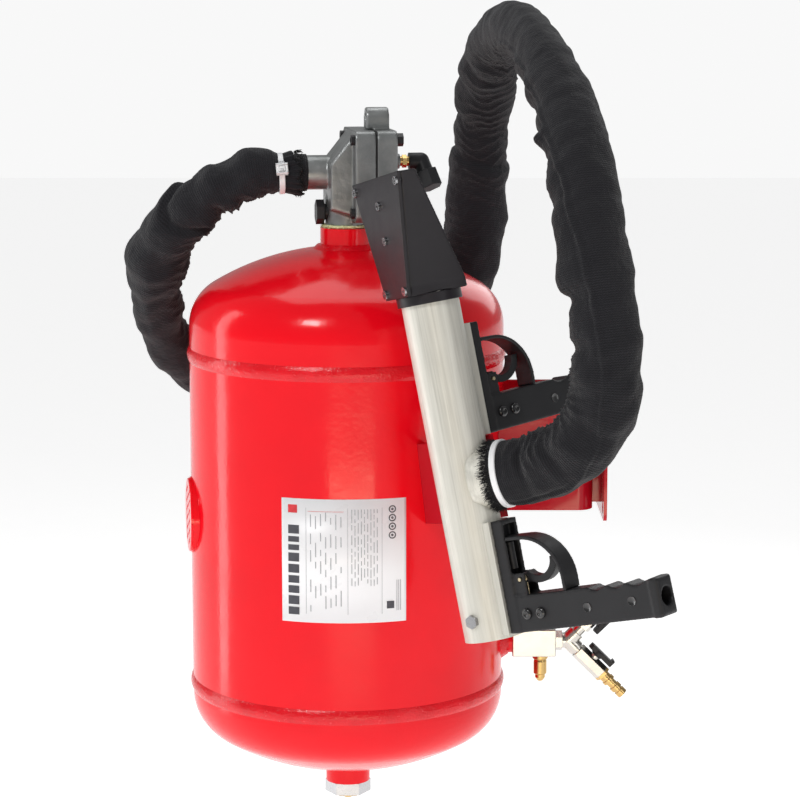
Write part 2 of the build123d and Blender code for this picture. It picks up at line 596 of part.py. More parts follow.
# ---- handle; its own x points away from the barrel, its z runs up the barrel ----------------
RAIL_IN, POCKET_IN, RAIL_OUT = 27.0, 31.0, 38.0
GRIP_START, END_BLOCK = 1.0, 9.0          # from the rail's inner face; length
SCALLOPS = (120.0, 139.5, 159.0)
SCREW_XS, SCREW_Z = (47.0, 61.0), 15.5
GUARD_OUT, GUARD_TOP, GUARD_THICK, GUARD_BEND = 90.0, 79.0, 3.0, 38.0
EAR_IN, EAR_OUT = 6.5, 8.5
POCKET_HALF, STRAP_CLEARANCE = 8.0, 0.1
PIN_R = 1.5


def on_handle(side, shape):
    turn, height = HANDLES[side]
    return GUN * (Rot(0, 0, turn) * (Pos(0, 0, height) * shape))


def handle_saddle(side):
    strip = block((20, RAIL_IN), (-13, 13), (0, RAIL_HEIGHT)) - Cylinder(BARREL_R, 900)
    return on_handle(side, strip)


def grip():
    """The scalloped bar with its bored end block, rising a little from square to the barrel."""
    half = GRIP_WIDTH / 2
    length = HANDLE_END - RAIL_IN
    bar = block((GRIP_START, length), (-half, half), (0, GRIP_HEIGHT))
    for x in SCALLOPS:
        bar = bar - rod((x - RAIL_IN, -20, GRIP_HEIGHT + 11), (x - RAIL_IN, 20, GRIP_HEIGHT + 11), 14)
    bar = bar + block((length - END_BLOCK, length), (-half - 0.6, half + 0.6), (-0.6, GRIP_HEIGHT + 1))
    bar = fillet(bar.faces().sort_by(Axis.X)[-1].edges(), 3)
    bar = bar - rod((length - 60, 0, GRIP_HEIGHT / 2), (length + 1, 0, GRIP_HEIGHT / 2), 7.6)
    return Pos(RAIL_IN, 0, 0) * Rot(0, -GRIP_RISE, 0) * bar


def handle(side):
    """A channel rail and a grip in one moulding."""
    half = GRIP_WIDTH / 2
    rail = block((RAIL_IN, RAIL_OUT), (-half - 0.5, half + 0.5), (0, RAIL_HEIGHT))
    pocket = block((POCKET_IN, RAIL_OUT + 1), (-POCKET_HALF, POCKET_HALF), (GRIP_HEIGHT, RAIL_HEIGHT - 4))
    ears = block((RAIL_OUT - 1, 50), (EAR_IN, EAR_OUT), (GRIP_HEIGHT - 1, 49))
    ears = ears + block((RAIL_OUT - 1, 50), (-EAR_OUT, -EAR_IN), (GRIP_HEIGHT - 1, 49))
    body = grip() + (rail - pocket) + ears
    for x in SCREW_XS:
        body = body - rod((x, -20, SCREW_Z), (x, 20, SCREW_Z), 2.5)
    x, z = TRIGGER_PIVOT
    return on_handle(side, body - rod((x, -20, z), (x, 20, z), PIN_R))


def corner_frame(inset):
    """The area under the guard strap, its far upper corner rounded."""
    x, z, bend = GUARD_OUT - inset, GUARD_TOP - inset, GUARD_BEND - inset
    sole, bow = Line((POCKET_IN, GRIP_HEIGHT), (x, GRIP_HEIGHT)), arc((x - bend, z - bend), bend, 0, 90)
    return make_face([sole, Line(sole @ 1, bow @ 0), bow, Line(bow @ 1, (POCKET_IN, z)),
                      Line((POCKET_IN, z), sole @ 0)])


def trigger_guard(side):
    """A strap as wide as the grip, narrowed where it enters the rail's pocket."""
    half, tongue = GRIP_WIDTH / 2, POCKET_HALF - STRAP_CLEARANCE
    strap = slab(corner_frame(0) - corner_frame(GUARD_THICK), GRIP_WIDTH)
    for y in ((tongue, half + 1), (-half - 1, -tongue)):
        strap = strap - block((0, RAIL_OUT + STRAP_CLEARANCE), y, (0, RAIL_HEIGHT))
    return on_handle(side, strap - grip())


def trigger(side):
    """The hooked trigger, pivoted between the ears at its lower end."""
    centre, outer, inner = (60.5, 59.0), 20.0, 14.0
    first, last = 222, 362
    back, front = arc(centre, outer, first, last), arc(centre, inner, last, first)
    hook = make_face([back, Line(back @ 1, front @ 0), front, Line(front @ 1, back @ 0)])
    x, z = TRIGGER_PIVOT
    body = Pos(0, 1.4, 0) * slab(hook, 9) + rod((x, -3.1, z), (x, 6.2, z), 4.6)
    return on_handle(side, body - rod((x, -20, z), (x, 20, z), PIN_R + 0.05))


def trigger_pins():
    x, z = TRIGGER_PIVOT
    return Compound([on_handle(side, rod((x, -9.5, z), (x, 9.5, z), PIN_R)) for side in HANDLES])


def trigger_springs():
    """A short torsion spring on each pivot pin, with one leg on the grip."""
    x, z = TRIGGER_PIVOT
    springs = []
    for side in HANDLES:
        for y in (-3.9, -4.9, -5.9):
            coil = Pos(x, y, z) * Rot(90, 0, 0) * Torus(3.2, 0.45)
            springs.append(on_handle(side, coil))
        leg = rod((x + 4.2, -4.9, z - 3), (x + 4.2, -4.9, GRIP_HEIGHT + 0.6), 0.45)
        springs.append(on_handle(side, leg))
    return Compound(springs)


def handle_screws():
    screws = []
    for side in HANDLES:
        for x in SCREW_XS:
            half = GRIP_WIDTH / 2
            shank = rod((x, -half - 1, SCREW_Z), (x, half + 1, SCREW_Z), 2.5)
            heads = rod((x, -half - 1.8, SCREW_Z), (x, -half, SCREW_Z), 4.2)
            heads = heads + rod((x, half, SCREW_Z), (x, half + 1.8, SCREW_Z), 4.2)
            screws.append(on_handle(side, shank + heads))
    return Compound(screws)


def pilot_cartridges():
    """The small signal valves in the rails, which the triggers work."""
    bodies = []
    for side in HANDLES:
        cartridge = rod((34.6, 0, 52), (34.6, 0, 74), 3.4)
        bodies.append(on_handle(side, cartridge))
    return Compound(bodies)


# ---- cradle that holds the barrel off the tank ----------------------------------------------
PULL_TURN = INLET_TURN - 90
CRADLE_ZS = ((95.5, 102.5), (157.2, 164.2))
CRADLE_GAP, CRADLE_WALL, CRADLE_MOUTH = 0.4, 6.0, -14.0
STEM_TURN = 112.0


def gun_cradle():
    """Two shallow saddles on one stem, welded to the tank; the barrel lifts off their open side."""
    bore = BARREL_R + CRADLE_GAP
    saddles = []
    for low, high in CRADLE_ZS:
        cup = tube(bore + CRADLE_WALL, bore, low, high)
        cup = cup - block((CRADLE_MOUTH, 80), (-80, 80), (low - 1, high + 1))
        saddles.append(Rot(0, 0, PULL_TURN) * cup)
    stem = block((bore + 3, 110), (-4, 4), (CRADLE_ZS[0][0], CRADLE_ZS[1][1]))
    stem = Rot(0, 0, STEM_TURN) * stem
    return GUN * (saddles[0] + saddles[1] + stem) - TANK * Cylinder(TANK_R, 900)


# ---- blast hose -------------------------------------------------------------------------------
def outlet_point(distance):
    """A point on the valve outlet's axis, out from its rim."""
    return (VALVE * Pos(OUTLET_END - distance, 0, OUTLET_Z)).position


def inlet_point(distance):
    """A point on the gun inlet's axis, out from its face."""
    return (GUN.location * INLET * Pos(INLET_FACE + distance, 0, INLET_Z)).position


OUTLET_RUN, INLET_RUN = 42.0, 36.0
# from the valve round behind the tank, up over its shoulder and down to the gun
HOSE_BENDS = [
    (-351, -10, 235), (-384, 3, 206), (-404, 24, 166), (-405, 56, 121), (-392, 100, 79),
    (-361, 144, 46), (-315, 180, 28), (-256, 196, 27), (-196, 196, 45), (-144, 195, 86),
    (-115, 193, 144), (-109, 187, 203), (-107, 172, 262), (-103, 139, 314), (-98, 88, 354),
    (-88, 27, 376), (-75, -40, 379), (-60, -104, 360), (-47, -160, 322), (-36, -204, 273),
    (-29, -235, 215), (-21, -252, 159), (-16, -257, 111), (-22, -253, 73), (-42, -242, 44),
]


def hose_route():
    outlet = [outlet_point(0), outlet_point(OUTLET_RUN)]
    inlet = [inlet_point(INLET_RUN), inlet_point(0)]
    return outlet + [Vector(*point) for point in HOSE_BENDS] + inlet


def bend_radii(points):
    """Each bend takes 0.45 of its shorter run."""
    radii = []
    for before, here, after in zip(points, points[1:], points[2:]):
        run_in, run_out = here - before, after - here
        half_turn = radians(run_in.get_angle(run_out)) / 2
        radii.append(0.45 * min(run_in.length, run_out.length) * cos(half_turn) / sin(half_turn))
    return radii


def blast_hose():
    points = hose_route()
    radii = bend_radii(points)
    path = FilletPolyline(*points, radius=radii)
    start = Plane(origin=path @ 0, z_dir=path % 0)
    hose = sweep(start * Circle(HOSE_R), path=path)
    ideal = path.length * pi * HOSE_R ** 2
    print("hose length", round(path.length, 1), "volume share", round(hose.volume / ideal, 4))
    print("hose radii", [round(radius) for radius in radii])
    return hose


def cable_tie(middle, way):
    """A flat band round the hose with its square head."""
    level = (Vector(0, 0, 1) - way * way.Z).normalized()
    band = Rot(0, 90, 0) * tube(HOSE_R + TIE_THICK, HOSE_R, -TIE_WIDTH / 2, TIE_WIDTH / 2)
    head = block((-4, 4), (-3.8, 3.8), (HOSE_R + 0.5, HOSE_R + 5))
    head = head - rod((-9, 0, 0), (9, 0, 0), HOSE_R + 0.5)
    return Plane(origin=middle, x_dir=way, z_dir=level) * (band + Rot(55, 0, 0) * head)


def valve_end_tie():
    return cable_tie(outlet_point(21), (outlet_point(1) - outlet_point(0)).normalized())


def gun_end_tie():
    return cable_tie(inlet_point(6), (inlet_point(1) - inlet_point(0)).normalized())


# ---- the assembly ---------------------------------------------------------------------------------
def build_nodes():
    """Every sub-part by its node name."""
    nodes = {
        "tank_shell": tank_shell(), "top_dome": top_dome(), "bottom_dome": bottom_dome(),
        "neck_socket": neck_socket(), "sealing_tape": sealing_tape(), "drain_socket": drain_socket(),
        "drain_plug": drain_plug(), "drain_screw": drain_screw(), "side_boss": side_boss(),
        "slotted_cover": slotted_cover(), "tank_label": tank_label(), "bracket_arm": bracket_arm(),
        "bracket_pads": bracket_pads(), "column_plate": column_plate(), "gun_cradle": gun_cradle(),
        "side_socket": side_socket(), "manifold_block": manifold_block(), "relief_valve": relief_valve(),
        "branch_fitting": branch_fitting(), "quick_plug": quick_plug(), "spare_outlet": spare_outlet(),
        "valve_body": valve_body(), "cover_gasket": cover_gasket(), "valve_cover": valve_cover(),
        "cover_bolts": cover_bolts(), "diaphragm": diaphragm(), "diaphragm_spring": diaphragm_spring(),
        "port_plug": port_plug(), "pilot_fitting": pilot_fitting(), "pilot_elbow": pilot_elbow(),
        "barrel_tube": barrel_tube(), "barrel_plug": barrel_plug(), "barrel_screws": barrel_screws(),
        "nozzle_collar": nozzle_collar(), "nozzle_body": nozzle_body(), "nozzle_plate": nozzle_plate(),
        "nozzle_screws": nozzle_screws(), "inlet_flange": inlet_flange(), "trigger_pins": trigger_pins(),
        "trigger_springs": trigger_springs(), "handle_screws": handle_screws(),
        "pilot_cartridges": pilot_cartridges(), "blast_hose": blast_hose(),
        "valve_end_tie": valve_end_tie(), "gun_end_tie": gun_end_tie(), "weld_beads": weld_beads(),
    }
    for side in ("lower", "upper"):
        nodes[f"{side}_shutoff_body"] = shutoff_body(side)
        nodes[f"{side}_ball_stem"] = ball_stem(side)
        nodes[f"{side}_valve_lever"] = valve_lever(side)
        nodes[f"{side}_handle"] = handle(side)
        nodes[f"{side}_handle_saddle"] = handle_saddle(side)
        nodes[f"{side}_trigger_guard"] = trigger_guard(side)
        nodes[f"{side}_trigger"] = trigger(side)
    return nodes


NODES = build_nodes()
os.makedirs("parts", exist_ok=True)
for name, solid in NODES.items():
    export_step(solid, f"parts/{name}.step")
print(len(NODES), "nodes")
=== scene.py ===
import bpy
import bmesh
import json
import random
from math import asin, atan2, cos, exp, pi, radians, sin
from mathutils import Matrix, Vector, noise


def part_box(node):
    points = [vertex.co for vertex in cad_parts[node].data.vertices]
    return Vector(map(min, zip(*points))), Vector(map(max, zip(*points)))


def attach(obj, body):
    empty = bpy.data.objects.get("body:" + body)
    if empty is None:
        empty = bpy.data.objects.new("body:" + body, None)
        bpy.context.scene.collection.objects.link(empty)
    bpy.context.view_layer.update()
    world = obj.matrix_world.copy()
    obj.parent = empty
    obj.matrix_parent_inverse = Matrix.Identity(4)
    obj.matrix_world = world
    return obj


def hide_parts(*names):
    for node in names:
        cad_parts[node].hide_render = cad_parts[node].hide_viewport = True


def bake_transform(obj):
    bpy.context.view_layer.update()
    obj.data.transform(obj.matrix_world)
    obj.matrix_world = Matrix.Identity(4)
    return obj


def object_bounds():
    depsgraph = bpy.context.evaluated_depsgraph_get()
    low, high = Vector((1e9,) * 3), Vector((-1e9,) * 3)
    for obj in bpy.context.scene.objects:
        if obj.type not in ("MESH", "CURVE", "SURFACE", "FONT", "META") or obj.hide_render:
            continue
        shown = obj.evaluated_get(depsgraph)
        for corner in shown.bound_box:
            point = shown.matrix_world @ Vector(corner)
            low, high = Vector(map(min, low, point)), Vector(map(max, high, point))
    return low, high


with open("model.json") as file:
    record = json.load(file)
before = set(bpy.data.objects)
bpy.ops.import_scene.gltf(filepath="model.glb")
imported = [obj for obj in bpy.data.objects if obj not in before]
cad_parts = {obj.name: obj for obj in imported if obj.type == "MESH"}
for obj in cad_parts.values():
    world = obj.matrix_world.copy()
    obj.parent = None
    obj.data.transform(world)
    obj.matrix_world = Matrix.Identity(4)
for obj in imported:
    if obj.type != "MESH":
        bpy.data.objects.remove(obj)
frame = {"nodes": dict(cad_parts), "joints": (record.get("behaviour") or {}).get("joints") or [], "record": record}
CAD_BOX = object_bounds()

NODES = frame["nodes"]
ROUTE_MM = [
    (-266.5, -5.8, 252.0), (-308.0, -12.4, 252.0), (-351, -10, 235), (-384, 3, 206), (-404, 24, 166),
    (-405, 56, 121), (-392, 100, 79), (-361, 144, 46), (-315, 180, 28), (-256, 196, 27), (-196, 196, 45),
    (-144, 195, 86), (-115, 193, 144), (-109, 187, 203), (-107, 172, 262), (-103, 139, 314),
    (-98, 88, 354), (-88, 27, 376), (-75, -40, 379), (-60, -104, 360), (-47, -160, 322),
    (-36, -204, 273), (-29, -235, 215), (-21, -252, 159), (-16, -257, 111), (-22, -253, 73),
    (-42, -242, 44), (-70.0, -222.9, 28.6), (-102.6, -209.7, 20.6),
]
HOSE_ROUTE = [Vector(point) / 1000 for point in ROUTE_MM]


# ---- places taken from the frame ----------------------------------------------------------
def middle(node):
    low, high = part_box(node)
    return (Vector(low) + Vector(high)) / 2


def joint(name):
    return next(j for j in frame["joints"] if j["name"] == name)


def barrel_axis():
    """Along the barrel, square to both triggers' pins."""
    first, second = (Vector(joint(name)["axis"]) for name in ("lower_trigger_pull", "upper_trigger_pull"))
    return first.cross(second).normalized()


TANK_LOW, TANK_HIGH = [Vector(corner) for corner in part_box("tank_shell")]
TANK_AXIS = middle("tank_shell")
TANK_R = (TANK_HIGH.x - TANK_LOW.x) / 2
CAMERA_TILT = radians(9.3)
CAMERA_DISTANCE = 2.307
LENS_MM, SENSOR_MM = 115.9, 36
TO_CAMERA = Vector((0, -cos(CAMERA_TILT), sin(CAMERA_TILT)))

WORLD_AS_LIGHT, WORLD_AS_BACKDROP = 0.30, 0.94
FLOOR_HALF, FLOOR_DROP, FLOOR_GLOW = 12.0, 0.35, 0.62
WHITE = (1, 1, 1)
# name, place, size, watts, colour
LIGHTS = [
    ("key", (-1.15, -1.75, 1.75), (0.5, 0.5), 23, WHITE),
    ("warm_strip", (-0.05, -2.3, -0.5), (1.3, 0.16), 5.5, (1.0, 0.80, 0.55)),
    ("fill", (1.5, -1.6, 0.5), (0.5, 1.6), 5, WHITE),
    ("left_strip", (-1.9, 0.25, 0.1), (0.3, 2.2), 9, WHITE),
    ("top", (-0.3, 0.6, 1.9), (1.4, 1.0), 9, WHITE),
    ("back", (0.8, 1.9, 0.9), (1.2, 1.2), 8, WHITE),
]


# ---- camera, light and floor --------------------------------------------------------------
def add_camera():
    """A long lens nearly level with the receiver, a little to the right of its axis."""
    target = Vector((TANK_AXIS.x + 0.0477, 0, TANK_HIGH.z - 0.044))
    camera = bpy.data.objects.new("camera", bpy.data.cameras.new("camera"))
    bpy.context.scene.collection.objects.link(camera)
    camera.data.sensor_width = SENSOR_MM
    camera.data.lens = LENS_MM
    camera.location = target + TO_CAMERA * CAMERA_DISTANCE
    camera.rotation_euler = (target - camera.location).to_track_quat("-Z", "Y").to_euler()
    bpy.context.scene.camera = camera


def add_light(name, position, size, power, colour):
    lamp = bpy.data.objects.new(name, bpy.data.lights.new(name, "AREA"))
    bpy.context.scene.collection.objects.link(lamp)
    lamp.data.shape = "RECTANGLE"
    lamp.data.size, lamp.data.size_y = size
    lamp.data.energy = power
    lamp.data.color = colour
    lamp.location = position
    aim = TANK_AXIS - Vector(position)
    lamp.rotation_euler = aim.to_track_quat("-Z", "Y").to_euler()


def add_studio():
    """White paper all round, dimmer as a light than as a backdrop, six soft boxes and a pale floor."""
    world = bpy.data.worlds.new("studio")
    bpy.context.scene.world = world
    world.use_nodes = True
    nodes, links = world.node_tree.nodes, world.node_tree.links
    ray, blend = nodes.new("ShaderNodeLightPath"), nodes.new("ShaderNodeMapRange")
    blend.inputs["To Min"].default_value = WORLD_AS_LIGHT
    blend.inputs["To Max"].default_value = WORLD_AS_BACKDROP
    links.new(ray.outputs["Is Camera Ray"], blend.inputs["Value"])
    links.new(blend.outputs["Result"], nodes["Background"].inputs["Strength"])
    nodes["Background"].inputs["Color"].default_value = (1, 1, 1, 1)
    bpy.context.scene.view_settings.view_transform = "Standard"
    for light in LIGHTS:
        add_light(*light)
    floor = bpy.data.meshes.new("floor")
    half, z = FLOOR_HALF, CAD_BOX[0][2] - FLOOR_DROP
    corners = [(-half, -half, z), (half, -half, z), (half, half, z), (-half, half, z)]
    floor.from_pydata(corners, [], [(0, 1, 2, 3)])
    floor_object = bpy.data.objects.new("floor", floor)
    bpy.context.scene.collection.objects.link(floor_object)
    glow = dict(Emission_Color=(1, 1, 1, 1), Emission_Strength=FLOOR_GLOW)
    floor.materials.append(surface("floor_paper", (0.93, 0.93, 0.93), 0.7, spread=0.01, **glow))


# ---- materials -----------------------------------------------------------------------------
class Shader:
    """A small helper round one material's node tree."""

    def __init__(self, name):
        self.material = bpy.data.materials.new(name)
        self.material.use_nodes = True
        self.tree = self.material.node_tree
        self.bsdf = self.tree.nodes["Principled BSDF"]

    def add(self, kind, **values):
        node = self.tree.nodes.new(kind)
        for key, value in values.items():
            if key in node.inputs:
                node.inputs[key].default_value = value
            else:
                setattr(node, key, value)
        return node

    def join(self, output, target):
        self.tree.links.new(output, target)
        return self

    def position(self, scale=(1, 1, 1), turn=(0, 0, 0)):
        place = self.add("ShaderNodeTexCoord")
        turned = self.add("ShaderNodeMapping")
        turned.inputs["Rotation"].default_value = turn
        self.join(place.outputs["Object"], turned.inputs["Vector"])
        scaled = self.add("ShaderNodeMapping")
        scaled.inputs["Scale"].default_value = scale
        self.join(turned.outputs["Vector"], scaled.inputs["Vector"])
        return scaled.outputs["Vector"]

    def noise(self, scale, detail=4.0, rough=0.55, at=None):
        node = self.add("ShaderNodeTexNoise", Scale=scale, Detail=detail, Roughness=rough)
        self.join(at or self.position(), node.inputs["Vector"])
        return node.outputs["Fac"]

    def ramp(self, source, stops):
        node = self.add("ShaderNodeValToRGB")
        elements = node.color_ramp.elements
        while len(elements) < len(stops):
            elements.new(0.5)
        for element, (place, colour) in zip(elements, stops):
            element.position = place
            element.color = (*colour, 1)
        self.join(source, node.inputs["Fac"])
        return node.outputs["Color"]

    def level(self, source, low, high, from_low=0.3, from_high=0.7):
        node = self.add("ShaderNodeMapRange")
        node.inputs["From Min"].default_value = from_low
        node.inputs["From Max"].default_value = from_high
        node.inputs["To Min"].default_value = low
        node.inputs["To Max"].default_value = high
        self.join(source, node.inputs["Value"])
        return node.outputs["Result"]

    def maths(self, operation, first, second=None):
        node = self.add("ShaderNodeMath", operation=operation)
        for socket, value in zip(node.inputs, (first, second)):
            if value is None:
                continue
            if hasattr(value, "links"):
                self.join(value, socket)
            else:
                socket.default_value = value
        return node.outputs["Value"]

    def mix(self, share, first, second):
        """A colour mix; sockets 0, 6 and 7 are the node's factor and its two colours."""
        node = self.add("ShaderNodeMix", data_type="RGBA")
        sockets = (node.inputs[0], node.inputs[6], node.inputs[7])
        for socket, value in zip(sockets, (share, first, second)):
            if hasattr(value, "links"):
                self.join(value, socket)
            else:
                socket.default_value = (*value, 1) if isinstance(value, tuple) else value
        return node.outputs[2]

    def edges(self, radius):
        """Edges rounded by this radius in the shading."""
        node = self.add("ShaderNodeBevel", Radius=radius)
        return node.outputs["Normal"]

    def bump(self, height, distance, under=None):
        node = self.add("ShaderNodeBump", Strength=1.0, Distance=distance)
        self.join(height, node.inputs["Height"])
        if under is not None:
            self.join(under, node.inputs["Normal"])
        self.join(node.outputs["Normal"], self.bsdf.inputs["Normal"])
        return node.outputs["Normal"]

    def colour(self, output):
        return self.join(output, self.bsdf.inputs["Base Color"])

    def roughness(self, output):
        return self.join(output, self.bsdf.inputs["Roughness"])

    def set(self, **values):
        for key, value in values.items():
            self.bsdf.inputs[key.replace("_", " ")].default_value = value
        return self


def tint(colour, factor):
    return tuple(min(1.0, channel * factor) for channel in colour)


def surface(name, colour, rough, metal=0.0, spread=0.06, grain=900.0, depth=0.00004, blotch=18.0,
            edge=0.0, **extra):
    """A base finish: blotchy colour, uneven gloss, a fine grain and softened edges."""
    shader = Shader(name)
    patches = shader.noise(blotch, 6)
    shader.colour(shader.ramp(patches, [(0.3, tint(colour, 1 - spread)), (0.7, tint(colour, 1 + spread))]))
    shader.roughness(shader.level(shader.noise(blotch * 3, 5), rough * 0.85, rough * 1.2))
    shader.bump(shader.noise(grain, 3), depth, under=shader.edges(edge) if edge else None)
    shader.set(Metallic=metal, **extra)
    return shader.material


def glossy_paint(name, colour, edge=0.0):
    """Sprayed enamel: orange peel and a slow ripple under an even gloss."""
    shader = Shader(name)
    shader.colour(shader.ramp(shader.noise(9, 5), [(0.3, tint(colour, 0.94)), (0.7, tint(colour, 1.05))]))
    shader.roughness(shader.level(shader.noise(70, 5), 0.13, 0.22))
    peel = shader.bump(shader.noise(260, 2, 0.4), 0.00009, under=shader.edges(edge) if edge else None)
    shader.bump(shader.noise(14, 2), 0.0006, under=peel)
    return shader.set(Specular_IOR_Level=0.22, Coat_Weight=0.12, Coat_Roughness=0.06).material


def weld_paint():
    """The enamel over a weld bead: ripples and spatter that glint."""
    shader = Shader("weld_red")
    tones = [(0.3, (0.66, 0.002, 0.009)), (0.75, (0.80, 0.006, 0.016))]
    shader.colour(shader.ramp(shader.noise(60, 5), tones))
    shader.roughness(shader.level(shader.noise(300, 5), 0.12, 0.3))
    ripple = shader.bump(shader.noise(120, 3, at=shader.position((1, 1, 3))), 0.0007)
    cells = shader.add("ShaderNodeTexVoronoi", Scale=420.0)
    shader.join(shader.position(), cells.inputs["Vector"])
    shader.bump(cells.outputs["Distance"], 0.0002, under=ripple)
    return shader.set(Specular_IOR_Level=0.42).material


def barrel_finish():
    """Polished aluminium tube: fine streaks and scratches along its length."""
    turn = barrel_axis().rotation_difference(Vector((0, 0, 1))).to_euler()
    shader = Shader("barrel_aluminium")
    streaks = shader.noise(260, 6, 0.7, shader.position((1, 1, 0.02), turn))
    smudges = shader.noise(14, 5)
    tones = [(0.3, (0.52, 0.51, 0.46)), (0.52, (0.70, 0.69, 0.63)), (0.75, (0.82, 0.81, 0.75))]
    tone = shader.ramp(streaks, tones)
    shader.colour(shader.mix(shader.level(smudges, 0.0, 0.4), tone, (0.60, 0.59, 0.53)))
    shader.roughness(shader.level(shader.noise(40, 5), 0.42, 0.58))
    scratch = shader.noise(900, 2, 0.8, shader.position((1, 1, 0.008), turn))
    shader.bump(shader.level(scratch, 0, 1, 0.62, 0.7), 0.00006, under=shader.edges(0.0006))
    return shader.set(Metallic=0.55).material


def cast_metal():
    """Sand-cast aluminium, tumbled smooth: soft lumps, fine pits and stained patches."""
    shader = Shader("cast_aluminium")
    stain = shader.noise(24, 6, 0.6)
    tones = [(0.3, (0.17, 0.18, 0.175)), (0.55, (0.27, 0.28, 0.28)), (0.75, (0.36, 0.37, 0.37))]
    shader.colour(shader.ramp(stain, tones))
    shader.roughness(shader.level(shader.noise(90, 5), 0.30, 0.46))
    lumps = shader.bump(shader.noise(70, 3), 0.0008, under=shader.edges(0.0016))
    shader.bump(shader.noise(1500, 3), 0.00008, under=lumps)
    return shader.set(Metallic=0.75).material


KNIT_COLUMN, KNIT_ROW = 0.0023, 0.0018


def knit(name, dark, light):
    """Ribbed knit: rows of small loops round the sleeve, with brushed fibres over them. The thread colour holds
    painted shade: darker in the gaps between the loops, lighter on their tops.
    """
    shader = Shader(name)
    place = shader.add("ShaderNodeTexCoord")
    split = shader.add("ShaderNodeSeparateXYZ")
    shader.join(place.outputs["UV"], split.inputs["Vector"])
    wander = shader.level(shader.noise(160, 3), -0.25, 0.25)
    column = shader.maths("MULTIPLY", split.outputs["X"], 2 * pi / KNIT_COLUMN)
    row = shader.maths("MULTIPLY", split.outputs["Y"], 2 * pi / KNIT_ROW)
    slant = shader.maths("MULTIPLY", shader.maths("SINE", column), 0.9)
    loops = shader.maths("SINE", shader.maths("ADD", shader.maths("ADD", row, slant), wander))
    fuzz = shader.noise(2600, 2)
    height = shader.maths("ADD", shader.maths("MULTIPLY", loops, 0.5), shader.maths("MULTIPLY", fuzz, 0.8))
    # painted shade: the loop height runs the thread colour from dark in the gaps between loops to lighter on the
    # loop tops, mixed with a random fibre tone from the fuzz
    thread = shader.ramp(shader.level(height, 0, 1, -0.3, 1.0), [(0.15, dark), (0.95, light)])
    worn = shader.level(shader.noise(11, 5), 0.0, 0.35, 0.45, 0.7)
    shader.colour(shader.mix(worn, thread, tint(light, 0.9)))
    creases = shader.bump(shader.noise(42, 5, 0.6), 0.0042)
    shader.bump(height, 0.00028, under=creases)
    shader.set(Roughness=0.88, Specular_IOR_Level=0.25, Sheen_Weight=0.12, Sheen_Roughness=0.45)
    return shader.material


def build_materials():
    black = dict(spread=0.15, grain=2200, depth=0.00007, Specular_IOR_Level=0.32)
    return {
        "tank_red": glossy_paint("tank_red", (0.86, 0.0025, 0.011)),
        "bracket_red": glossy_paint("bracket_red", (0.50, 0.006, 0.018), edge=0.0012),
        "label_white": surface("label_white", (0.86, 0.87, 0.90), 0.3, spread=0.02),
        "tape_white": surface("tape_white", (0.72, 0.74, 0.42), 0.75, spread=0.35, grain=2500, blotch=500),
        "cast_aluminium": cast_metal(),
        "black_steel": surface("black_steel", (0.02, 0.02, 0.022), 0.35, edge=0.0004, **black),
        "steel": surface("steel", (0.55, 0.55, 0.56), 0.28, metal=1.0, blotch=90, edge=0.0005),
        "pin_steel": surface("pin_steel", (0.62, 0.52, 0.34), 0.3, metal=1.0, blotch=150, edge=0.0003),
        "nickel": surface("nickel", (0.60, 0.575, 0.53), 0.22, metal=1.0, blotch=60, grain=500, edge=0.0006),
        "brass": surface("brass", (0.62, 0.42, 0.17), 0.22, metal=1.0, blotch=90, edge=0.0005),
        "black_moulding": surface("black_moulding", (0.015, 0.015, 0.017), 0.4, edge=0.0016, **black),
        "nozzle_black": surface("nozzle_black", (0.013, 0.011, 0.014), 0.36, edge=0.0014, **black),
        "rubber": surface("rubber", (0.015, 0.015, 0.015), 0.7, spread=0.2, grain=1200),
        "tie_white": surface("tie_white", (0.84, 0.85, 0.87), 0.35, spread=0.03, grain=600, edge=0.0005),
        "barrel_aluminium": barrel_finish(),
        "hose_sleeve": knit("hose_sleeve", (0.007, 0.007, 0.009), (0.017, 0.017, 0.021)),
        "frayed_yarn": surface("frayed_yarn", (0.008, 0.008, 0.009), 0.9, spread=0.5, grain=3000, blotch=300),
        "weld_red": weld_paint(),
        "screw_steel": surface("screw_steel", (0.34, 0.34, 0.35), 0.25, metal=1.0, blotch=200, edge=0.0004),
        "rivet_black": surface("rivet_black", (0.012, 0.012, 0.013), 0.2, blotch=200, Coat_Weight=0.5),
        "print_dark": surface("print_dark", (0.06, 0.06, 0.075), 0.4, spread=0.15, blotch=200),
        "print_grey": surface("print_grey", (0.36, 0.37, 0.40), 0.45, spread=0.15, blotch=300),
        "print_red": surface("print_red", (0.62, 0.03, 0.04), 0.4, spread=0.1, blotch=200),
    }


def dress(materials):
    """Gives every CAD node its slot's material, and finer ones to the welds and screws."""
    for row in frame["record"]["subparts"]:
        mesh = NODES[row["node"]].data
        mesh.materials.clear()
        mesh.materials.append(materials[row["material_slot"]])
    NODES["weld_beads"].data.materials[0] = materials["weld_red"]
    for node in ("nozzle_screws", "barrel_screws"):
        NODES[node].data.materials[0] = materials["screw_steel"]


def new_piece(name, mesh, material, smooth=True):
    piece = bpy.data.objects.new(name, mesh)
    bpy.context.scene.collection.objects.link(piece)
    mesh.materials.append(material)
    if smooth:
        mesh.polygons.foreach_set("use_smooth", [True] * len(mesh.polygons))
    return piece


# ---- hose ----------------------------------------------------------------------------------
ROUTE_STEP = 0.004
LINE_RESOLUTION = 24
BEND_REACH = 8  # steps each way over which a bend is measured
RING_STEP_MM = 2.0
FREE_FROM, FREE_TO = 28, 1556  # the sleeve hangs loose between its ties, mm
SEAM_FROM, SEAM_TO = 24, 1561
INNER_FOLDS, OUTER_FOLDS = 21.0, 27.0  # spacing of the folds, mm
COLLAR, HEM, TUCK = 105, 783, 1357  # where each crosses the hose, mm
LUMP_HEIGHT, LUMP_REACH = 1.3, 1.15  # factors on every lump
HOSE_RADIUS = 0.026


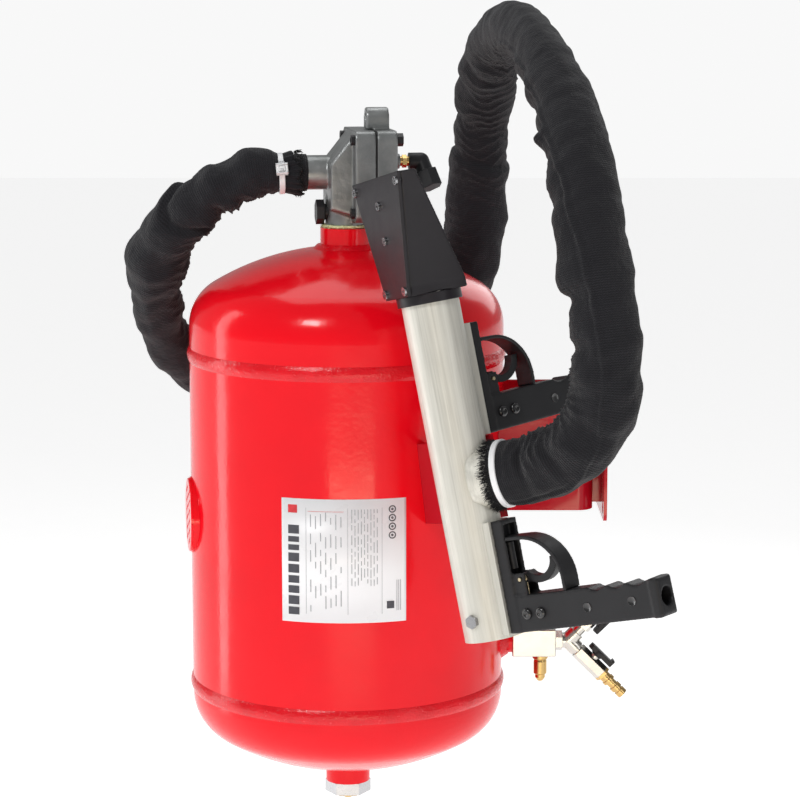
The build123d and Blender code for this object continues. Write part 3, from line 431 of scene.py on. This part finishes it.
def spline_line(points):
    """The smooth line of a clamped spline with these control points."""
    curve = bpy.data.curves.new("line", "CURVE")
    curve.dimensions = "3D"
    curve.resolution_u = LINE_RESOLUTION
    spline = curve.splines.new("NURBS")
    spline.points.add(len(points) - 1)
    for control, point in zip(spline.points, points):
        control.co = (*point, 1)
    spline.order_u = 3
    spline.use_endpoint_u = True
    holder = bpy.data.objects.new("line", curve)
    bpy.context.scene.collection.objects.link(holder)
    bpy.context.view_layer.update()
    mesh = bpy.data.meshes.new_from_object(holder)
    line = [vertex.co.copy() for vertex in mesh.vertices]
    bpy.data.objects.remove(holder)
    bpy.data.meshes.remove(mesh)
    return line


def even_steps(line, step):
    """Points along a line at one spacing, both ends kept, and the line's length."""
    lengths = [0.0]
    for here, after in zip(line, line[1:]):
        lengths.append(lengths[-1] + (after - here).length)
    count = round(lengths[-1] / step)
    points, index = [], 0
    for number in range(count + 1):
        wanted = lengths[-1] * number / count
        while index < len(line) - 2 and lengths[index + 1] < wanted:
            index += 1
        share = (wanted - lengths[index]) / max(lengths[index + 1] - lengths[index], 1e-9)
        points.append(line[index].lerp(line[index + 1], share))
    return points, lengths[-1]


def between(table, place):
    """Smooth reading of a table of (place, value) rows."""
    for (low, first), (high, second) in zip(table, table[1:]):
        if place <= high:
            share = max(0.0, (place - low) / (high - low))
            share = share * share * (3 - 2 * share)
            return first + (second - first) * share
    return table[-1][1]


def bell(distance, width):
    return exp(-(distance / width) ** 2)


def step_up(distance, width):
    """0 before, 1 after, over this width."""
    share = min(1.0, max(0.0, distance / width + 0.5))
    return share * share * (3 - 2 * share)


class Route:
    """The hose's centreline with a frame at every step. Distances along it are in mm."""

    def __init__(self, points, step):
        self.points, self.length = even_steps(spline_line(points), step)
        self.step = self.length / (len(self.points) - 1)
        count = len(self.points)
        self.ways = []
        for index in range(count):
            ahead, behind = self.points[min(index + 1, count - 1)], self.points[max(index - 1, 0)]
            self.ways.append((ahead - behind).normalized())
        side = self.ways[0].cross(Vector((0, 0, 1))).normalized()
        self.sides, self.bends = [], []
        for index in range(count):
            way = self.ways[index]
            side = (side - way * side.dot(way)).normalized()
            self.sides.append(side.copy())
            ahead = self.ways[min(index + BEND_REACH, count - 1)]
            behind = self.ways[max(index - BEND_REACH, 0)]
            self.bends.append((ahead - behind) / (2 * BEND_REACH * self.step))

    def at(self, distance_mm):
        """(point, way, side, bend) at a distance, run on straight past either end."""
        place = distance_mm / 1000 / self.step
        index = min(max(int(place), 0), len(self.points) - 2)
        share = place - index
        point = self.points[index].lerp(self.points[index + 1], share)
        return point, self.ways[index], self.sides[index], self.bends[index]

    def angle(self, distance_mm, direction):
        """The angle round the hose that faces a direction."""
        _, way, side, _ = self.at(distance_mm)
        return atan2(direction.dot(way.cross(side)), direction.dot(side))


# radius of the sleeve along the hose, mm: pulled in at the valve, fuller on the bends
SLEEVE = [
    (0, 16.6), (21, 16.8), (30, 19.8), (46, 21.6), (70, 21.2), (100, 21.0), (125, 22.6), (150, 24.4),
    (176, 27.0), (192, 24.8), (210, 21.0), (262, 20.2), (300, 22.8), (335, 25.2), (500, 26.0), (640, 27.0),
    (700, 28.6), (770, 28.6), (795, 25.6), (826, 24.0), (852, 27.4), (900, 26.0), (980, 25.0), (1080, 24.4),
    (1180, 26.0), (1240, 27.0), (1285, 28.0), (1345, 28.2), (1372, 26.6), (1405, 27.2), (1430, 28.0),
    (1460, 27.4), (1485, 27.2), (1520, 27.0), (1550, 27.2), (1564, 26.6), (1580, 26.8),
]
VALVE_TIE, GUN_TIE = 21.0, 1565.5

# where the sewn seam faces along the hose
SEAM = [
    (0, (0, 0.8, -0.6)), (300, (0.3, 0.8, 0.5)), (600, (0, 1, 0.3)), (800, (0.3, 1, 0)),
    (960, (0.1, 0.3, -1)), (1080, (-1, 0.0, -0.2)), (1160, (-0.95, -0.3, 0)), (1219, (-0.85, -0.55, 0)),
    (1285, (-0.6, -0.8, 0)), (1347, (-0.35, -0.95, 0)), (1444, (-0.15, -1, 0)), (1480, (0.15, -1, -0.2)),
    (1515, (0.45, -0.75, -0.6)), (1545, (0.4, -0.6, -0.8)), (1580, (0.3, -0.6, -0.8)),
]

# single lumps and tucks: distance, the way it faces, length along, spread round, height
LUMPS = [
    (43, (0, -0.2, 1), 13, 0.8, 4.6), (64, (0, -0.2, 1), 6, 0.8, -1.8), (78, (0, -0.2, 1), 10, 0.7, 1.2),
    (36, (0, -0.3, -1), 13, 0.8, -2.6), (1095, (1, 0, 0.5), 75, 0.9, -5.0),
    (58, (0, -0.3, -1), 5, 0.6, -2.0), (72, (0, -0.3, -1), 8, 0.6, 2.2),
    (84, (0.2, -0.3, -1), 4, 0.7, -2.6), (101, (0.5, -0.3, -0.9), 9, 0.7, 3.6),
    (168, (-1, -0.2, 0.4), 14, 0.7, 1.8), (196, (-1, -0.2, 0.2), 7, 0.7, -1.0),
    (236, (-1, -0.2, 0), 16, 0.7, 1.3), (230, (1, -0.3, 0.3), 10, 0.6, 2.4),
    (256, (1, -0.3, 0.3), 7, 0.6, -1.6), (288, (-0.8, -0.3, -0.4), 16, 0.7, 2.0),
    (318, (-0.5, -0.3, -0.8), 6, 0.7, -1.4), (742, (-1, -0.2, 0), 9, 0.7, 1.6),
    (722, (1, -0.2, 0), 9, 0.6, 1.8), (757, (1, -0.2, 0), 7, 0.6, -1.6), (812, (-1, -0.2, 0), 9, 0.8, 1.6),
    (834, (-1, -0.2, 0), 6, 0.7, -2.0), (852, (-1, -0.2, 0), 10, 0.7, 1.8),
    (875, (-1, -0.2, 0), 6, 0.8, -1.8), (893, (-0.8, -0.5, -0.3), 9, 0.8, 2.0),
    (910, (-0.4, -0.8, -0.3), 5, 1.0, -2.2), (928, (0, -0.9, -0.5), 7, 0.9, 1.8),
    (944, (0.2, -0.8, -0.6), 5, 1.0, -2.2), (830, (1, -0.2, 0), 12, 0.7, 1.2),
    (1126, (-1, 0, -0.4), 11, 0.6, 2.6), (1147, (-1, 0, -0.4), 6, 0.6, -2.2),
    (1165, (-1, 0, -0.3), 9, 0.6, 2.6), (1186, (-1, -0.1, -0.2), 6, 0.5, -2.0),
    (1204, (-1, -0.2, 0), 9, 0.5, 1.6), (1222, (-1, -0.1, 0), 4, 0.28, 5.0),
    (1240, (-1, -0.2, 0), 7, 0.5, -1.6), (1262, (-1, -0.2, 0), 10, 0.6, 2.4),
    (1284, (-1, -0.2, 0), 5, 0.6, -2.0), (1300, (-1, -0.2, 0), 9, 0.5, 1.8),
    (1342, (-1, -0.3, 0), 12, 0.7, 4.2), (1363, (-1, -0.3, 0), 5, 0.8, -3.4),
    (1385, (-1, -0.3, 0), 9, 0.6, 1.6), (1402, (-1, -0.3, 0), 5, 0.6, -2.4),
    (1422, (-1, -0.3, 0), 9, 0.6, 2.2), (1468, (0.2, -1, 0.3), 5, 0.9, -1.8),
    (1492, (0.1, -1, 0.4), 9, 0.9, 1.6), (1507, (0, -1, 0.3), 4, 0.9, -2.0),
    (1526, (0, -0.9, 0.5), 8, 0.9, 1.6), (1540, (0, -0.9, 0.3), 4, 1.0, -1.8),
    (1398, (1, -0.3, 0), 14, 0.6, 2.0), (1424, (1, -0.3, 0), 7, 0.6, -1.8),
    (1446, (1, -0.3, -0.2), 12, 0.6, 2.2),
]


def sleeve_radius(place, way, bend, outward):
    """Radius of the loose sleeve in mm, at a distance along the hose and a direction round it."""
    radius = between(SLEEVE, place)
    loose = step_up(place - FREE_FROM, 12) * step_up(FREE_TO - place, 16)
    probe = outward * 1.3
    radius += 2.2 * loose * noise.noise(Vector((probe.x, probe.y + place / 30, probe.z)))
    probe = outward * 0.9
    wrinkle = noise.noise(Vector((probe.x + place / 8.5, probe.y + 7, probe.z)))
    radius += 0.8 * loose * wrinkle

    # folds gathered on the inner side of each bend
    inner = max(0.0, outward.dot(bend.normalized())) if bend.length > 1e-6 else 0.0
    tight = min(1.0, bend.length / 9.0)
    drift = 3.0 * noise.noise(outward * 1.1 + Vector((place / 60, 3, 1)))
    wave = sin(2 * pi * (place / INNER_FOLDS + drift * 0.25))
    radius += loose * tight * inner * (2.4 * (1 - abs(wave)) ** 2 - 0.5) * 1.6
    shallow = sin(2 * pi * (place / OUTER_FOLDS + drift * 0.3) + 1.3)
    radius += 0.8 * loose * tight * (1 - inner) * shallow

    for middle_mm, faces, length, spread, height in LUMPS:
        if abs(place - middle_mm) < 3 * length:
            facing = Vector(faces).normalized()
            facing = (facing - way * facing.dot(way)).normalized()
            along = bell(place - middle_mm, LUMP_REACH * length)
            radius += LUMP_HEIGHT * height * along * bell(outward.angle(facing), LUMP_REACH * spread)

    # the collar: the lower length of sleeve opens over the upper one
    facing = max(0.0, outward.dot(TO_CAMERA))
    edge = COLLAR + 24 * facing + 3 * noise.noise(outward * 2)
    radius += 3.6 * step_up(place - edge, 3.0) * (1 - step_up(place - edge - 22, 40))
    radius -= 2.6 * bell(place - edge + 4.5, 4.0)
    # the hem on the far leg
    edge = HEM - 7 * outward.x + 2 * noise.noise(outward * 2)
    radius += 1.6 * step_up(edge - place, 3.0) * (1 - step_up(edge - place - 14, 26))
    radius -= 1.8 * bell(place - edge - 4.0, 3.5)
    # the tuck on the near leg's inner side
    left = max(0.0, -outward.x)
    edge = TUCK + 6 * outward.y
    radius += left * 2.6 * step_up(edge - place, 3.0) * (1 - step_up(edge - place - 10, 26))
    return radius


SEGMENTS = 96


def seam_angles(route):
    """The seam's angle at each row of SEAM, unwound so that it never jumps."""
    rows, last = [], None
    for place, faces in SEAM:
        angle = route.angle(place, Vector(faces))
        if last is not None:
            angle = last + (angle - last + pi) % (2 * pi) - pi
        rows.append((place, angle))
        last = angle
    return rows


def seam_lift(number):
    """The raised seam's own profile, by segments away from it."""
    away = min(number, SEGMENTS - number)
    return (1.5, 0.7, -0.5, -0.25)[away] if away < 4 else 0.0


def hose_sleeve(route):
    """The knitted sleeve with its seam, gathered at each tie and open at both ends."""
    seam = seam_angles(route)
    rings, lengths = [], []

    def ring(place, radius_of=None, shift_of=None):
        base = between(seam, place)
        points = []
        for number in range(SEGMENTS):
            angle = base + 2 * pi * number / SEGMENTS
            shift = shift_of(angle) if shift_of else 0.0
            point, way, side, bend = route.at(place + shift)
            across = way.cross(side)
            outward = side * cos(angle) + across * sin(angle)
            if radius_of:
                radius = radius_of(angle)
            else:
                radius = body(place + shift, way, bend, outward, angle)
            points.append(point + outward * (radius / 1000))
        rings.append(points)
        lengths.append(place / 1000)

    def body(place, way, bend, outward, angle):
        number = round((angle - between(seam, place)) / (2 * pi) * SEGMENTS) % SEGMENTS
        full = step_up(place - SEAM_FROM, 6) * step_up(SEAM_TO - place, 6)
        return sleeve_radius(place, way, bend, outward) + full * seam_lift(number)

    def ruffles(angle, share, height):
        deep = 0.6 + 0.9 * noise.noise(Vector((cos(angle) * 2, sin(angle) * 2, 5)))
        return share * height * deep * (1 + sin(17 * angle + 2.5 * sin(2 * angle)))

    def valve_edge(angle):
        _, way, side, _ = route.at(VALVE_TIE)
        height = (side * cos(angle) + way.cross(side) * sin(angle)).z
        return -15 + 4.5 * height + 4.5 * noise.noise(Vector((cos(angle) * 2.2, sin(angle) * 2.2, 1)))

    def gun_edge(angle):
        return 6 + 3.0 * noise.noise(Vector((cos(angle) * 3, sin(angle) * 3, 9)))

    # the inner hose over the spigot, then the gathered cuff back to the tie
    for place, radius in ((-2.0, 15.4), (-1.6, 16.3), (3.0, 16.4), (9.0, 16.2)):
        ring(place, lambda angle: radius)
    for row in range(8, 0, -1):
        share = row / 8
        thin = 0.6 if row == 8 else 0.0
        ring(VALVE_TIE, lambda angle: 16.9 + 2.0 * share - thin + ruffles(angle, share, 1.9),
             lambda angle: share * valve_edge(angle))
    count = round((GUN_TIE - VALVE_TIE) / RING_STEP_MM)
    for number in range(count + 1):
        ring(VALVE_TIE + (GUN_TIE - VALVE_TIE) * number / count)
    for row in range(1, 6):
        share = row / 5
        ring(GUN_TIE, lambda angle: 26.5 + 0.6 * share + ruffles(angle, share, 0.8),
             lambda angle: share * gun_edge(angle))
    ring(GUN_TIE + 2, lambda angle: 25.2)

    mesh = bpy.data.meshes.new("hose_sleeve")
    mesh.from_pydata([p for points in rings for p in points], [], [
        (row * SEGMENTS + n, row * SEGMENTS + (n + 1) % SEGMENTS,
         (row + 1) * SEGMENTS + (n + 1) % SEGMENTS, (row + 1) * SEGMENTS + n)
        for row in range(len(rings) - 1) for n in range(SEGMENTS)
    ])
    layer = mesh.uv_layers.new(name="sleeve")
    around = 2 * pi * HOSE_RADIUS
    index = 0
    for row in range(len(rings) - 1):
        for n in range(SEGMENTS):
            corners = ((n, row), (n + 1, row), (n + 1, row + 1), (n, row + 1))
            for column, line in corners:
                layer.data[index].uv = (around * column / SEGMENTS, lengths[line])
                index += 1
    return mesh


YARN_WIDTH, TAPE_TUFT_WIDTH = 0.00042, 0.00045


def strand(bm, start, way, length, width, droop, chance):
    """One loose thread: a thin three-sided sliver that curls over."""
    side = way.orthogonal().normalized()
    other = way.cross(side)
    rows, point, heading = [], start.copy(), way.copy()
    for row in range(4):
        size = width * (1 - row / 4.2)
        rows.append([bm.verts.new(point + (side * cos(a) + other * sin(a)) * size) for a in (0.0, 2.1, 4.2)])
        heading = (heading + droop + Vector([chance.uniform(-0.35, 0.35) for _ in range(3)])).normalized()
        point = point + heading * (length / 3)
    for here, after in zip(rows, rows[1:]):
        for n in range(3):
            bm.faces.new((here[n], here[(n + 1) % 3], after[(n + 1) % 3], after[n]))


def cuff_fray(name, route, place, radius, lean, longest, count, seed):
    """Cut threads standing out of a cuff's edge."""
    chance = random.Random(seed)
    bm = bmesh.new()
    droop = Vector((0, 0, -0.12))
    for _ in range(count):
        angle = chance.uniform(0, 2 * pi)
        point, way, side, _ = route.at(place + chance.uniform(-3, 3))
        outward = side * cos(angle) + way.cross(side) * sin(angle)
        start = point + outward * ((radius + chance.uniform(-1.5, 1.0)) / 1000)
        heading = (way * lean + outward * chance.uniform(0.1, 0.8)).normalized()
        strand(bm, start, heading, chance.uniform(0.35, 1.0) * longest / 1000, YARN_WIDTH, droop, chance)
    mesh = bpy.data.meshes.new(name)
    bm.to_mesh(mesh)
    bm.free()
    return mesh


TIE_HEAD = (7.8, 7.6, 4.0)
TIE_SEGMENTS = 96


def tie_mesh(name, route, place, radius, head_faces):
    """A nylon tie: a flat band with rolled edges, its locking head and the cut tail."""
    point, way, side, _ = route.at(place)
    across = way.cross(side)
    half, thick = 2.6, 1.3
    profile = [(-half, 0.3), (-half + 0.3, thick * 0.85), (-half + 0.7, thick), (half - 0.7, thick),
               (half - 0.3, thick * 0.85), (half, 0.3), (half, -0.9), (-half, -0.9)]
    bm = bmesh.new()
    rings = []
    for number in range(TIE_SEGMENTS):
        angle = 2 * pi * number / TIE_SEGMENTS
        outward = side * cos(angle) + across * sin(angle)
        rings.append([bm.verts.new(point + way * (x / 1000) + outward * ((radius + y) / 1000))
                      for x, y in profile])
    for number in range(TIE_SEGMENTS):
        here, after = rings[number], rings[(number + 1) % TIE_SEGMENTS]
        for n in range(len(profile)):
            beside = (n + 1) % len(profile)
            bm.faces.new((here[n], after[n], after[beside], here[beside]))

    # the head: a rounded box with a recessed top, its pawl slot and a stub of the strap
    facing = (head_faces - way * head_faces.dot(way)).normalized()
    round_way = way.cross(facing)
    base = point + facing * ((radius + 0.6) / 1000)

    def block(size, lift, inset, turn=0.0):
        made = bmesh.ops.create_cube(bm, size=1.0)["verts"]
        for vertex in made:
            x, y, z = vertex.co
            vertex.co = (base + way * (x * size[0] / 1000) + round_way * ((y * size[1] + turn) / 1000)
                         + facing * (((z + 0.5) * size[2] + lift) / 1000))
        edges = list({edge for vertex in made for edge in vertex.link_edges})
        bmesh.ops.bevel(bm, geom=edges, offset=inset / 1000, segments=3, profile=0.6, affect="EDGES")

    block(TIE_HEAD, 0.0, 1.5)
    block((4.8, 4.4, 0.9), TIE_HEAD[2] - 0.35, 0.4)
    block((2.4, 1.1, 0.7), TIE_HEAD[2] + 0.35, 0.25, turn=-0.7)
    block((4.6, 3.4, 1.5), 1.1, 0.4, turn=TIE_HEAD[1] / 2 + 0.9)
    mesh = bpy.data.meshes.new(name)
    bmesh.ops.recalc_face_normals(bm, faces=bm.faces)
    bm.to_mesh(mesh)
    bm.free()
    return mesh


def add_hose(materials):
    route = Route(HOSE_ROUTE, ROUTE_STEP)
    sleeve = new_piece("hose_sleeve", hose_sleeve(route), materials["hose_sleeve"])
    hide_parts("blast_hose")
    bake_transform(sleeve)

    head_up = TO_CAMERA + Vector((0, 0, 0.10))
    valve_tie = tie_mesh("valve_tie", route, VALVE_TIE, 16.9, head_up)
    valve_tie = new_piece("valve_tie", valve_tie, materials["tie_white"], smooth=False)
    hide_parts("valve_end_tie")
    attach(valve_tie, "root")
    gun_tie = tie_mesh("gun_tie", route, GUN_TIE, 26.9, Vector((0.2, 0.8, 0.6)))
    gun_tie = new_piece("gun_tie", gun_tie, materials["tie_white"], smooth=False)
    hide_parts("gun_end_tie")
    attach(gun_tie, "gun")

    fray = cuff_fray("valve_cuff_fray", route, VALVE_TIE - 14, 19.0, -0.9, 5.0, 300, 3)
    valve_fray = new_piece("valve_cuff_fray", fray, materials["frayed_yarn"])
    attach(valve_fray, "root")
    fray = cuff_fray("gun_cuff_fray", route, GUN_TIE + 5.5, 26.8, 1.1, 8.0, 1100, 5)
    gun_fray = new_piece("gun_cuff_fray", fray, materials["frayed_yarn"])
    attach(gun_fray, "gun")


# ---- label and thread tape -----------------------------------------------------------------
class Wrap:
    """Flat shapes laid on the receiver: (0, 0) to (1, 1) over the label."""

    def __init__(self):
        low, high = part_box("tank_label")
        self.angles = [asin((x - TANK_AXIS.x) / TANK_R) for x in (low[0], high[0])]
        self.heights = (low[2], high[2])
        self.verts, self.faces, self.marks = [], [], []

    def point(self, u, v, lift):
        angle = self.angles[0] + (self.angles[1] - self.angles[0]) * u
        radius = TANK_R + lift
        height = self.heights[0] + (self.heights[1] - self.heights[0]) * v
        return (TANK_AXIS.x + radius * sin(angle), TANK_AXIS.y - radius * cos(angle), height)

    def bar(self, u0, v0, u1, v1, mark, lift=0.0006):
        columns = max(1, round((u1 - u0) * 40))
        first = len(self.verts)
        for column in range(columns + 1):
            u = u0 + (u1 - u0) * column / columns
            self.verts += [self.point(u, v0, lift), self.point(u, v1, lift)]
        for column in range(columns):
            a = first + 2 * column
            self.faces.append((a, a + 2, a + 3, a + 1))
            self.marks.append(mark)

    def ring(self, u, v, outer, inner, mark, lift=0.0006):
        first, count = len(self.verts), 28
        for number in range(count):
            angle = 2 * pi * number / count
            for radius in (outer, inner):
                self.verts.append(self.point(u + radius * cos(angle), v + radius * sin(angle), lift))
        for number in range(count):
            a, b = first + 2 * number, first + 2 * ((number + 1) % count)
            self.faces.append((a, b, b + 1, a + 1))
            self.marks.append(mark)

    def mesh(self, name):
        mesh = bpy.data.meshes.new(name)
        mesh.from_pydata(self.verts, [], self.faces)
        return mesh


def add_label(materials):
    """A white sheet with plain bars, squares and rings where the real one is printed."""
    sheet = Wrap()
    sheet.bar(0, 0, 1, 1, 0, 0.0004)
    paper = new_piece("label_sheet", sheet.mesh("label_sheet"), materials["label_white"])
    solid = paper.modifiers.new("thickness", "SOLIDIFY")
    solid.thickness = 0.00035
    solid.offset = -1
    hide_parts("tank_label")
    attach(paper, "root")

    dark, grey, red = 0, 1, 2
    chance = random.Random(11)
    marks = Wrap()
    v = 0.06
    while v < 0.80:
        tall = chance.choice((0.045, 0.06, 0.07))
        marks.bar(0.055, v, 0.145, v + tall, dark)
        v += tall + 0.022
    marks.bar(0.055, 0.885, 0.13, 0.95, red)
    for u in (0.20, 0.53, 0.80):
        marks.bar(u, 0.07, u + 0.003, 0.93, grey)
    for u in (0.235, 0.275, 0.315, 0.355, 0.395, 0.435, 0.475):
        v = 0.90 - chance.uniform(0, 0.05)
        while v > 0.14:
            tall = chance.uniform(0.05, 0.13)
            marks.bar(u, max(0.09, v - tall), u + 0.007, v, grey)
            v -= tall + chance.uniform(0.03, 0.16)
    for column in range(9):
        u = 0.56 + 0.025 * column
        v = 0.92
        while v > 0.34:
            tall = chance.uniform(0.03, 0.11)
            marks.bar(u, max(0.3, v - tall), u + 0.006, v, grey)
            v -= tall + chance.uniform(0.012, 0.04)
    marks.bar(0.215, 0.90, 0.50, 0.903, red)
    for place in (0.915, 0.845, 0.775, 0.705):
        marks.ring(0.885, place, 0.030, 0.021, dark)
        marks.ring(0.885, place, 0.010, 0.002, dark)
    marks.bar(0.84, 0.11, 0.90, 0.17, dark)
    for u in (0.92, 0.935, 0.95):
        marks.bar(u, 0.09, u + 0.005, 0.34, grey)
    printed = new_piece("label_print", marks.mesh("label_print"), materials["print_dark"])
    printed.data.materials.append(materials["print_grey"])
    printed.data.materials.append(materials["print_red"])
    printed.data.polygons.foreach_set("material_index", marks.marks)
    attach(printed, "root")


def add_tape(materials):
    """Thread tape squeezed out of the neck joint: a lumpy roll with torn tufts."""
    low, high = (Vector(corner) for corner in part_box("sealing_tape"))
    axis, radius = (low + high) / 2, (high.x - low.x) / 2
    chance = random.Random(23)
    bm = bmesh.new()
    count, rows = 160, []
    for number in range(count):
        angle = 2 * pi * number / count
        rough = noise.noise(Vector((cos(angle) * 5, sin(angle) * 5, 2)))
        fine = noise.noise(Vector((cos(angle) * 16, sin(angle) * 16, 4)))
        outer = radius - 0.0008 + 0.0012 * rough + 0.0006 * fine
        bottom, top = low.z + 0.0002 + 0.0008 * fine, high.z + 0.0004 + 0.0012 * rough
        way = Vector((cos(angle), sin(angle), 0))
        profile = ((radius - 0.004, low.z), (outer, bottom), (outer + 0.0005, (bottom + top) / 2),
                   (outer - 0.0004, top), (radius - 0.004, high.z))
        rows.append([bm.verts.new(Vector((axis.x, axis.y, 0)) + way * r + Vector((0, 0, z)))
                     for r, z in profile])
    for number in range(count):
        here, after = rows[number], rows[(number + 1) % count]
        for n in range(4):
            bm.faces.new((here[n], after[n], after[n + 1], here[n + 1]))
    droop = Vector((0, 0, -0.2))
    for _ in range(150):
        angle = chance.uniform(0, 2 * pi)
        way = Vector((cos(angle), sin(angle), 0))
        start = Vector((axis.x, axis.y, chance.uniform(low.z, high.z))) + way * (radius - 0.001)
        heading = (way + Vector((0, 0, chance.uniform(-0.5, 1.2)))).normalized()
        strand(bm, start, heading, chance.uniform(0.0015, 0.0042), TAPE_TUFT_WIDTH, droop, chance)
    mesh = bpy.data.meshes.new("torn_tape")
    bm.to_mesh(mesh)
    bm.free()
    tape = new_piece("torn_tape", mesh, materials["tape_white"])
    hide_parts("sealing_tape")
    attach(tape, "root")


# ---- mouldings and castings -----------------------------------------------------------------
def softened(node, voxel, passes, name, body):
    """A copy of a CAD node with every edge rounded, as a moulding or casting has."""
    mesh = NODES[node].data.copy()
    mesh.name = name
    piece = bpy.data.objects.new(name, mesh)
    bpy.context.scene.collection.objects.link(piece)
    remesh = piece.modifiers.new("remesh", "REMESH")
    remesh.mode = "VOXEL"
    remesh.voxel_size = voxel
    remesh.use_smooth_shade = True
    smooth = piece.modifiers.new("smooth", "SMOOTH")
    smooth.factor = 0.5
    smooth.iterations = passes
    bpy.context.view_layer.update()
    made = bpy.data.meshes.new_from_object(piece.evaluated_get(bpy.context.evaluated_depsgraph_get()))
    piece.modifiers.clear()
    piece.data = made
    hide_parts(node)
    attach(piece, body)


class Handle:
    """A handle's own frame: x out along the grip, z along the barrel, from the barrel's axis."""

    PIVOT = (0.045, 0.0436)  # the trigger's pin

    def __init__(self, side):
        row = joint(side + "_trigger_pull")
        self.z = barrel_axis()
        self.y = -Vector(row["axis"]).normalized()
        self.x = self.y.cross(self.z).normalized()
        self.foot = Vector(row["pos_m"]) - self.x * self.PIVOT[0] - self.z * self.PIVOT[1]

    def at(self, x, y, z):
        return self.foot + self.x * x + self.y * y + self.z * z


# places on a grip's side, and outlines as (radius, height above it)
GRIP_SIDE = 0.0100
RIVETS = [(0.047, 0.0155), (0.061, 0.0155)]
RIVET_OUTLINE = [
    (0.0047, 0.0), (0.0047, 0.0012), (0.0042, 0.0021), (0.0030, 0.0027), (0.0018, 0.0029),
    (0.0014, 0.0020), (0.0, 0.0020),
]
EJECTOR_MARKS = [(0.108, 0.0165), (0.152, 0.0185)]
EJECTOR_OUTLINE = [(0.0040, 0.0), (0.0040, 0.0004), (0.0037, 0.0005), (0.0035, 0.0003), (0.0, 0.0003)]
TURNED_SEGMENTS = 20


def add_moulding_marks(materials):
    """Domed rivet heads, hollow on top, and the round marks left by ejector pins."""
    bm = bmesh.new()
    for side in ("lower", "upper"):
        handle = Handle(side)
        for face in (-1, 1):
            for x, z in RIVETS:
                turned(bm, handle, x, z, face, RIVET_OUTLINE)
            for x, z in EJECTOR_MARKS:
                turned(bm, handle, x, z, face, EJECTOR_OUTLINE)
    mesh = bpy.data.meshes.new("handle_rivets")
    bmesh.ops.recalc_face_normals(bm, faces=bm.faces)
    bm.to_mesh(mesh)
    bm.free()
    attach(new_piece("handle_rivets", mesh, materials["rivet_black"]), "gun")


def turned(bm, handle, x, z, face, profile):
    """A small turned shape standing on a grip's side."""
    count, rows = TURNED_SEGMENTS, []
    for radius, lift in profile:
        rows.append([bm.verts.new(handle.at(
            x + radius * cos(2 * pi * n / count),
            face * (GRIP_SIDE + lift),
            z + radius * sin(2 * pi * n / count),
        )) for n in range(count)])
    for here, after in zip(rows, rows[1:]):
        for n in range(count):
            bm.faces.new((here[n], here[(n + 1) % count], after[(n + 1) % count], after[n]))


def add_castings():
    for side in ("lower", "upper"):
        softened(side + "_handle", 0.0009, 5, side + "_handle_moulding", "gun")
        softened(side + "_trigger_guard", 0.0007, 3, side + "_guard_moulding", "gun")
    softened("valve_body", 0.0009, 6, "valve_casting", "root")
    softened("valve_cover", 0.0009, 6, "cover_casting", "root")
    softened("nozzle_body", 0.0009, 3, "nozzle_housing", "gun")


add_camera()
MATERIALS = build_materials()
dress(MATERIALS)
add_hose(MATERIALS)
add_label(MATERIALS)
add_tape(MATERIALS)
add_castings()
add_moulding_marks(MATERIALS)
add_studio()
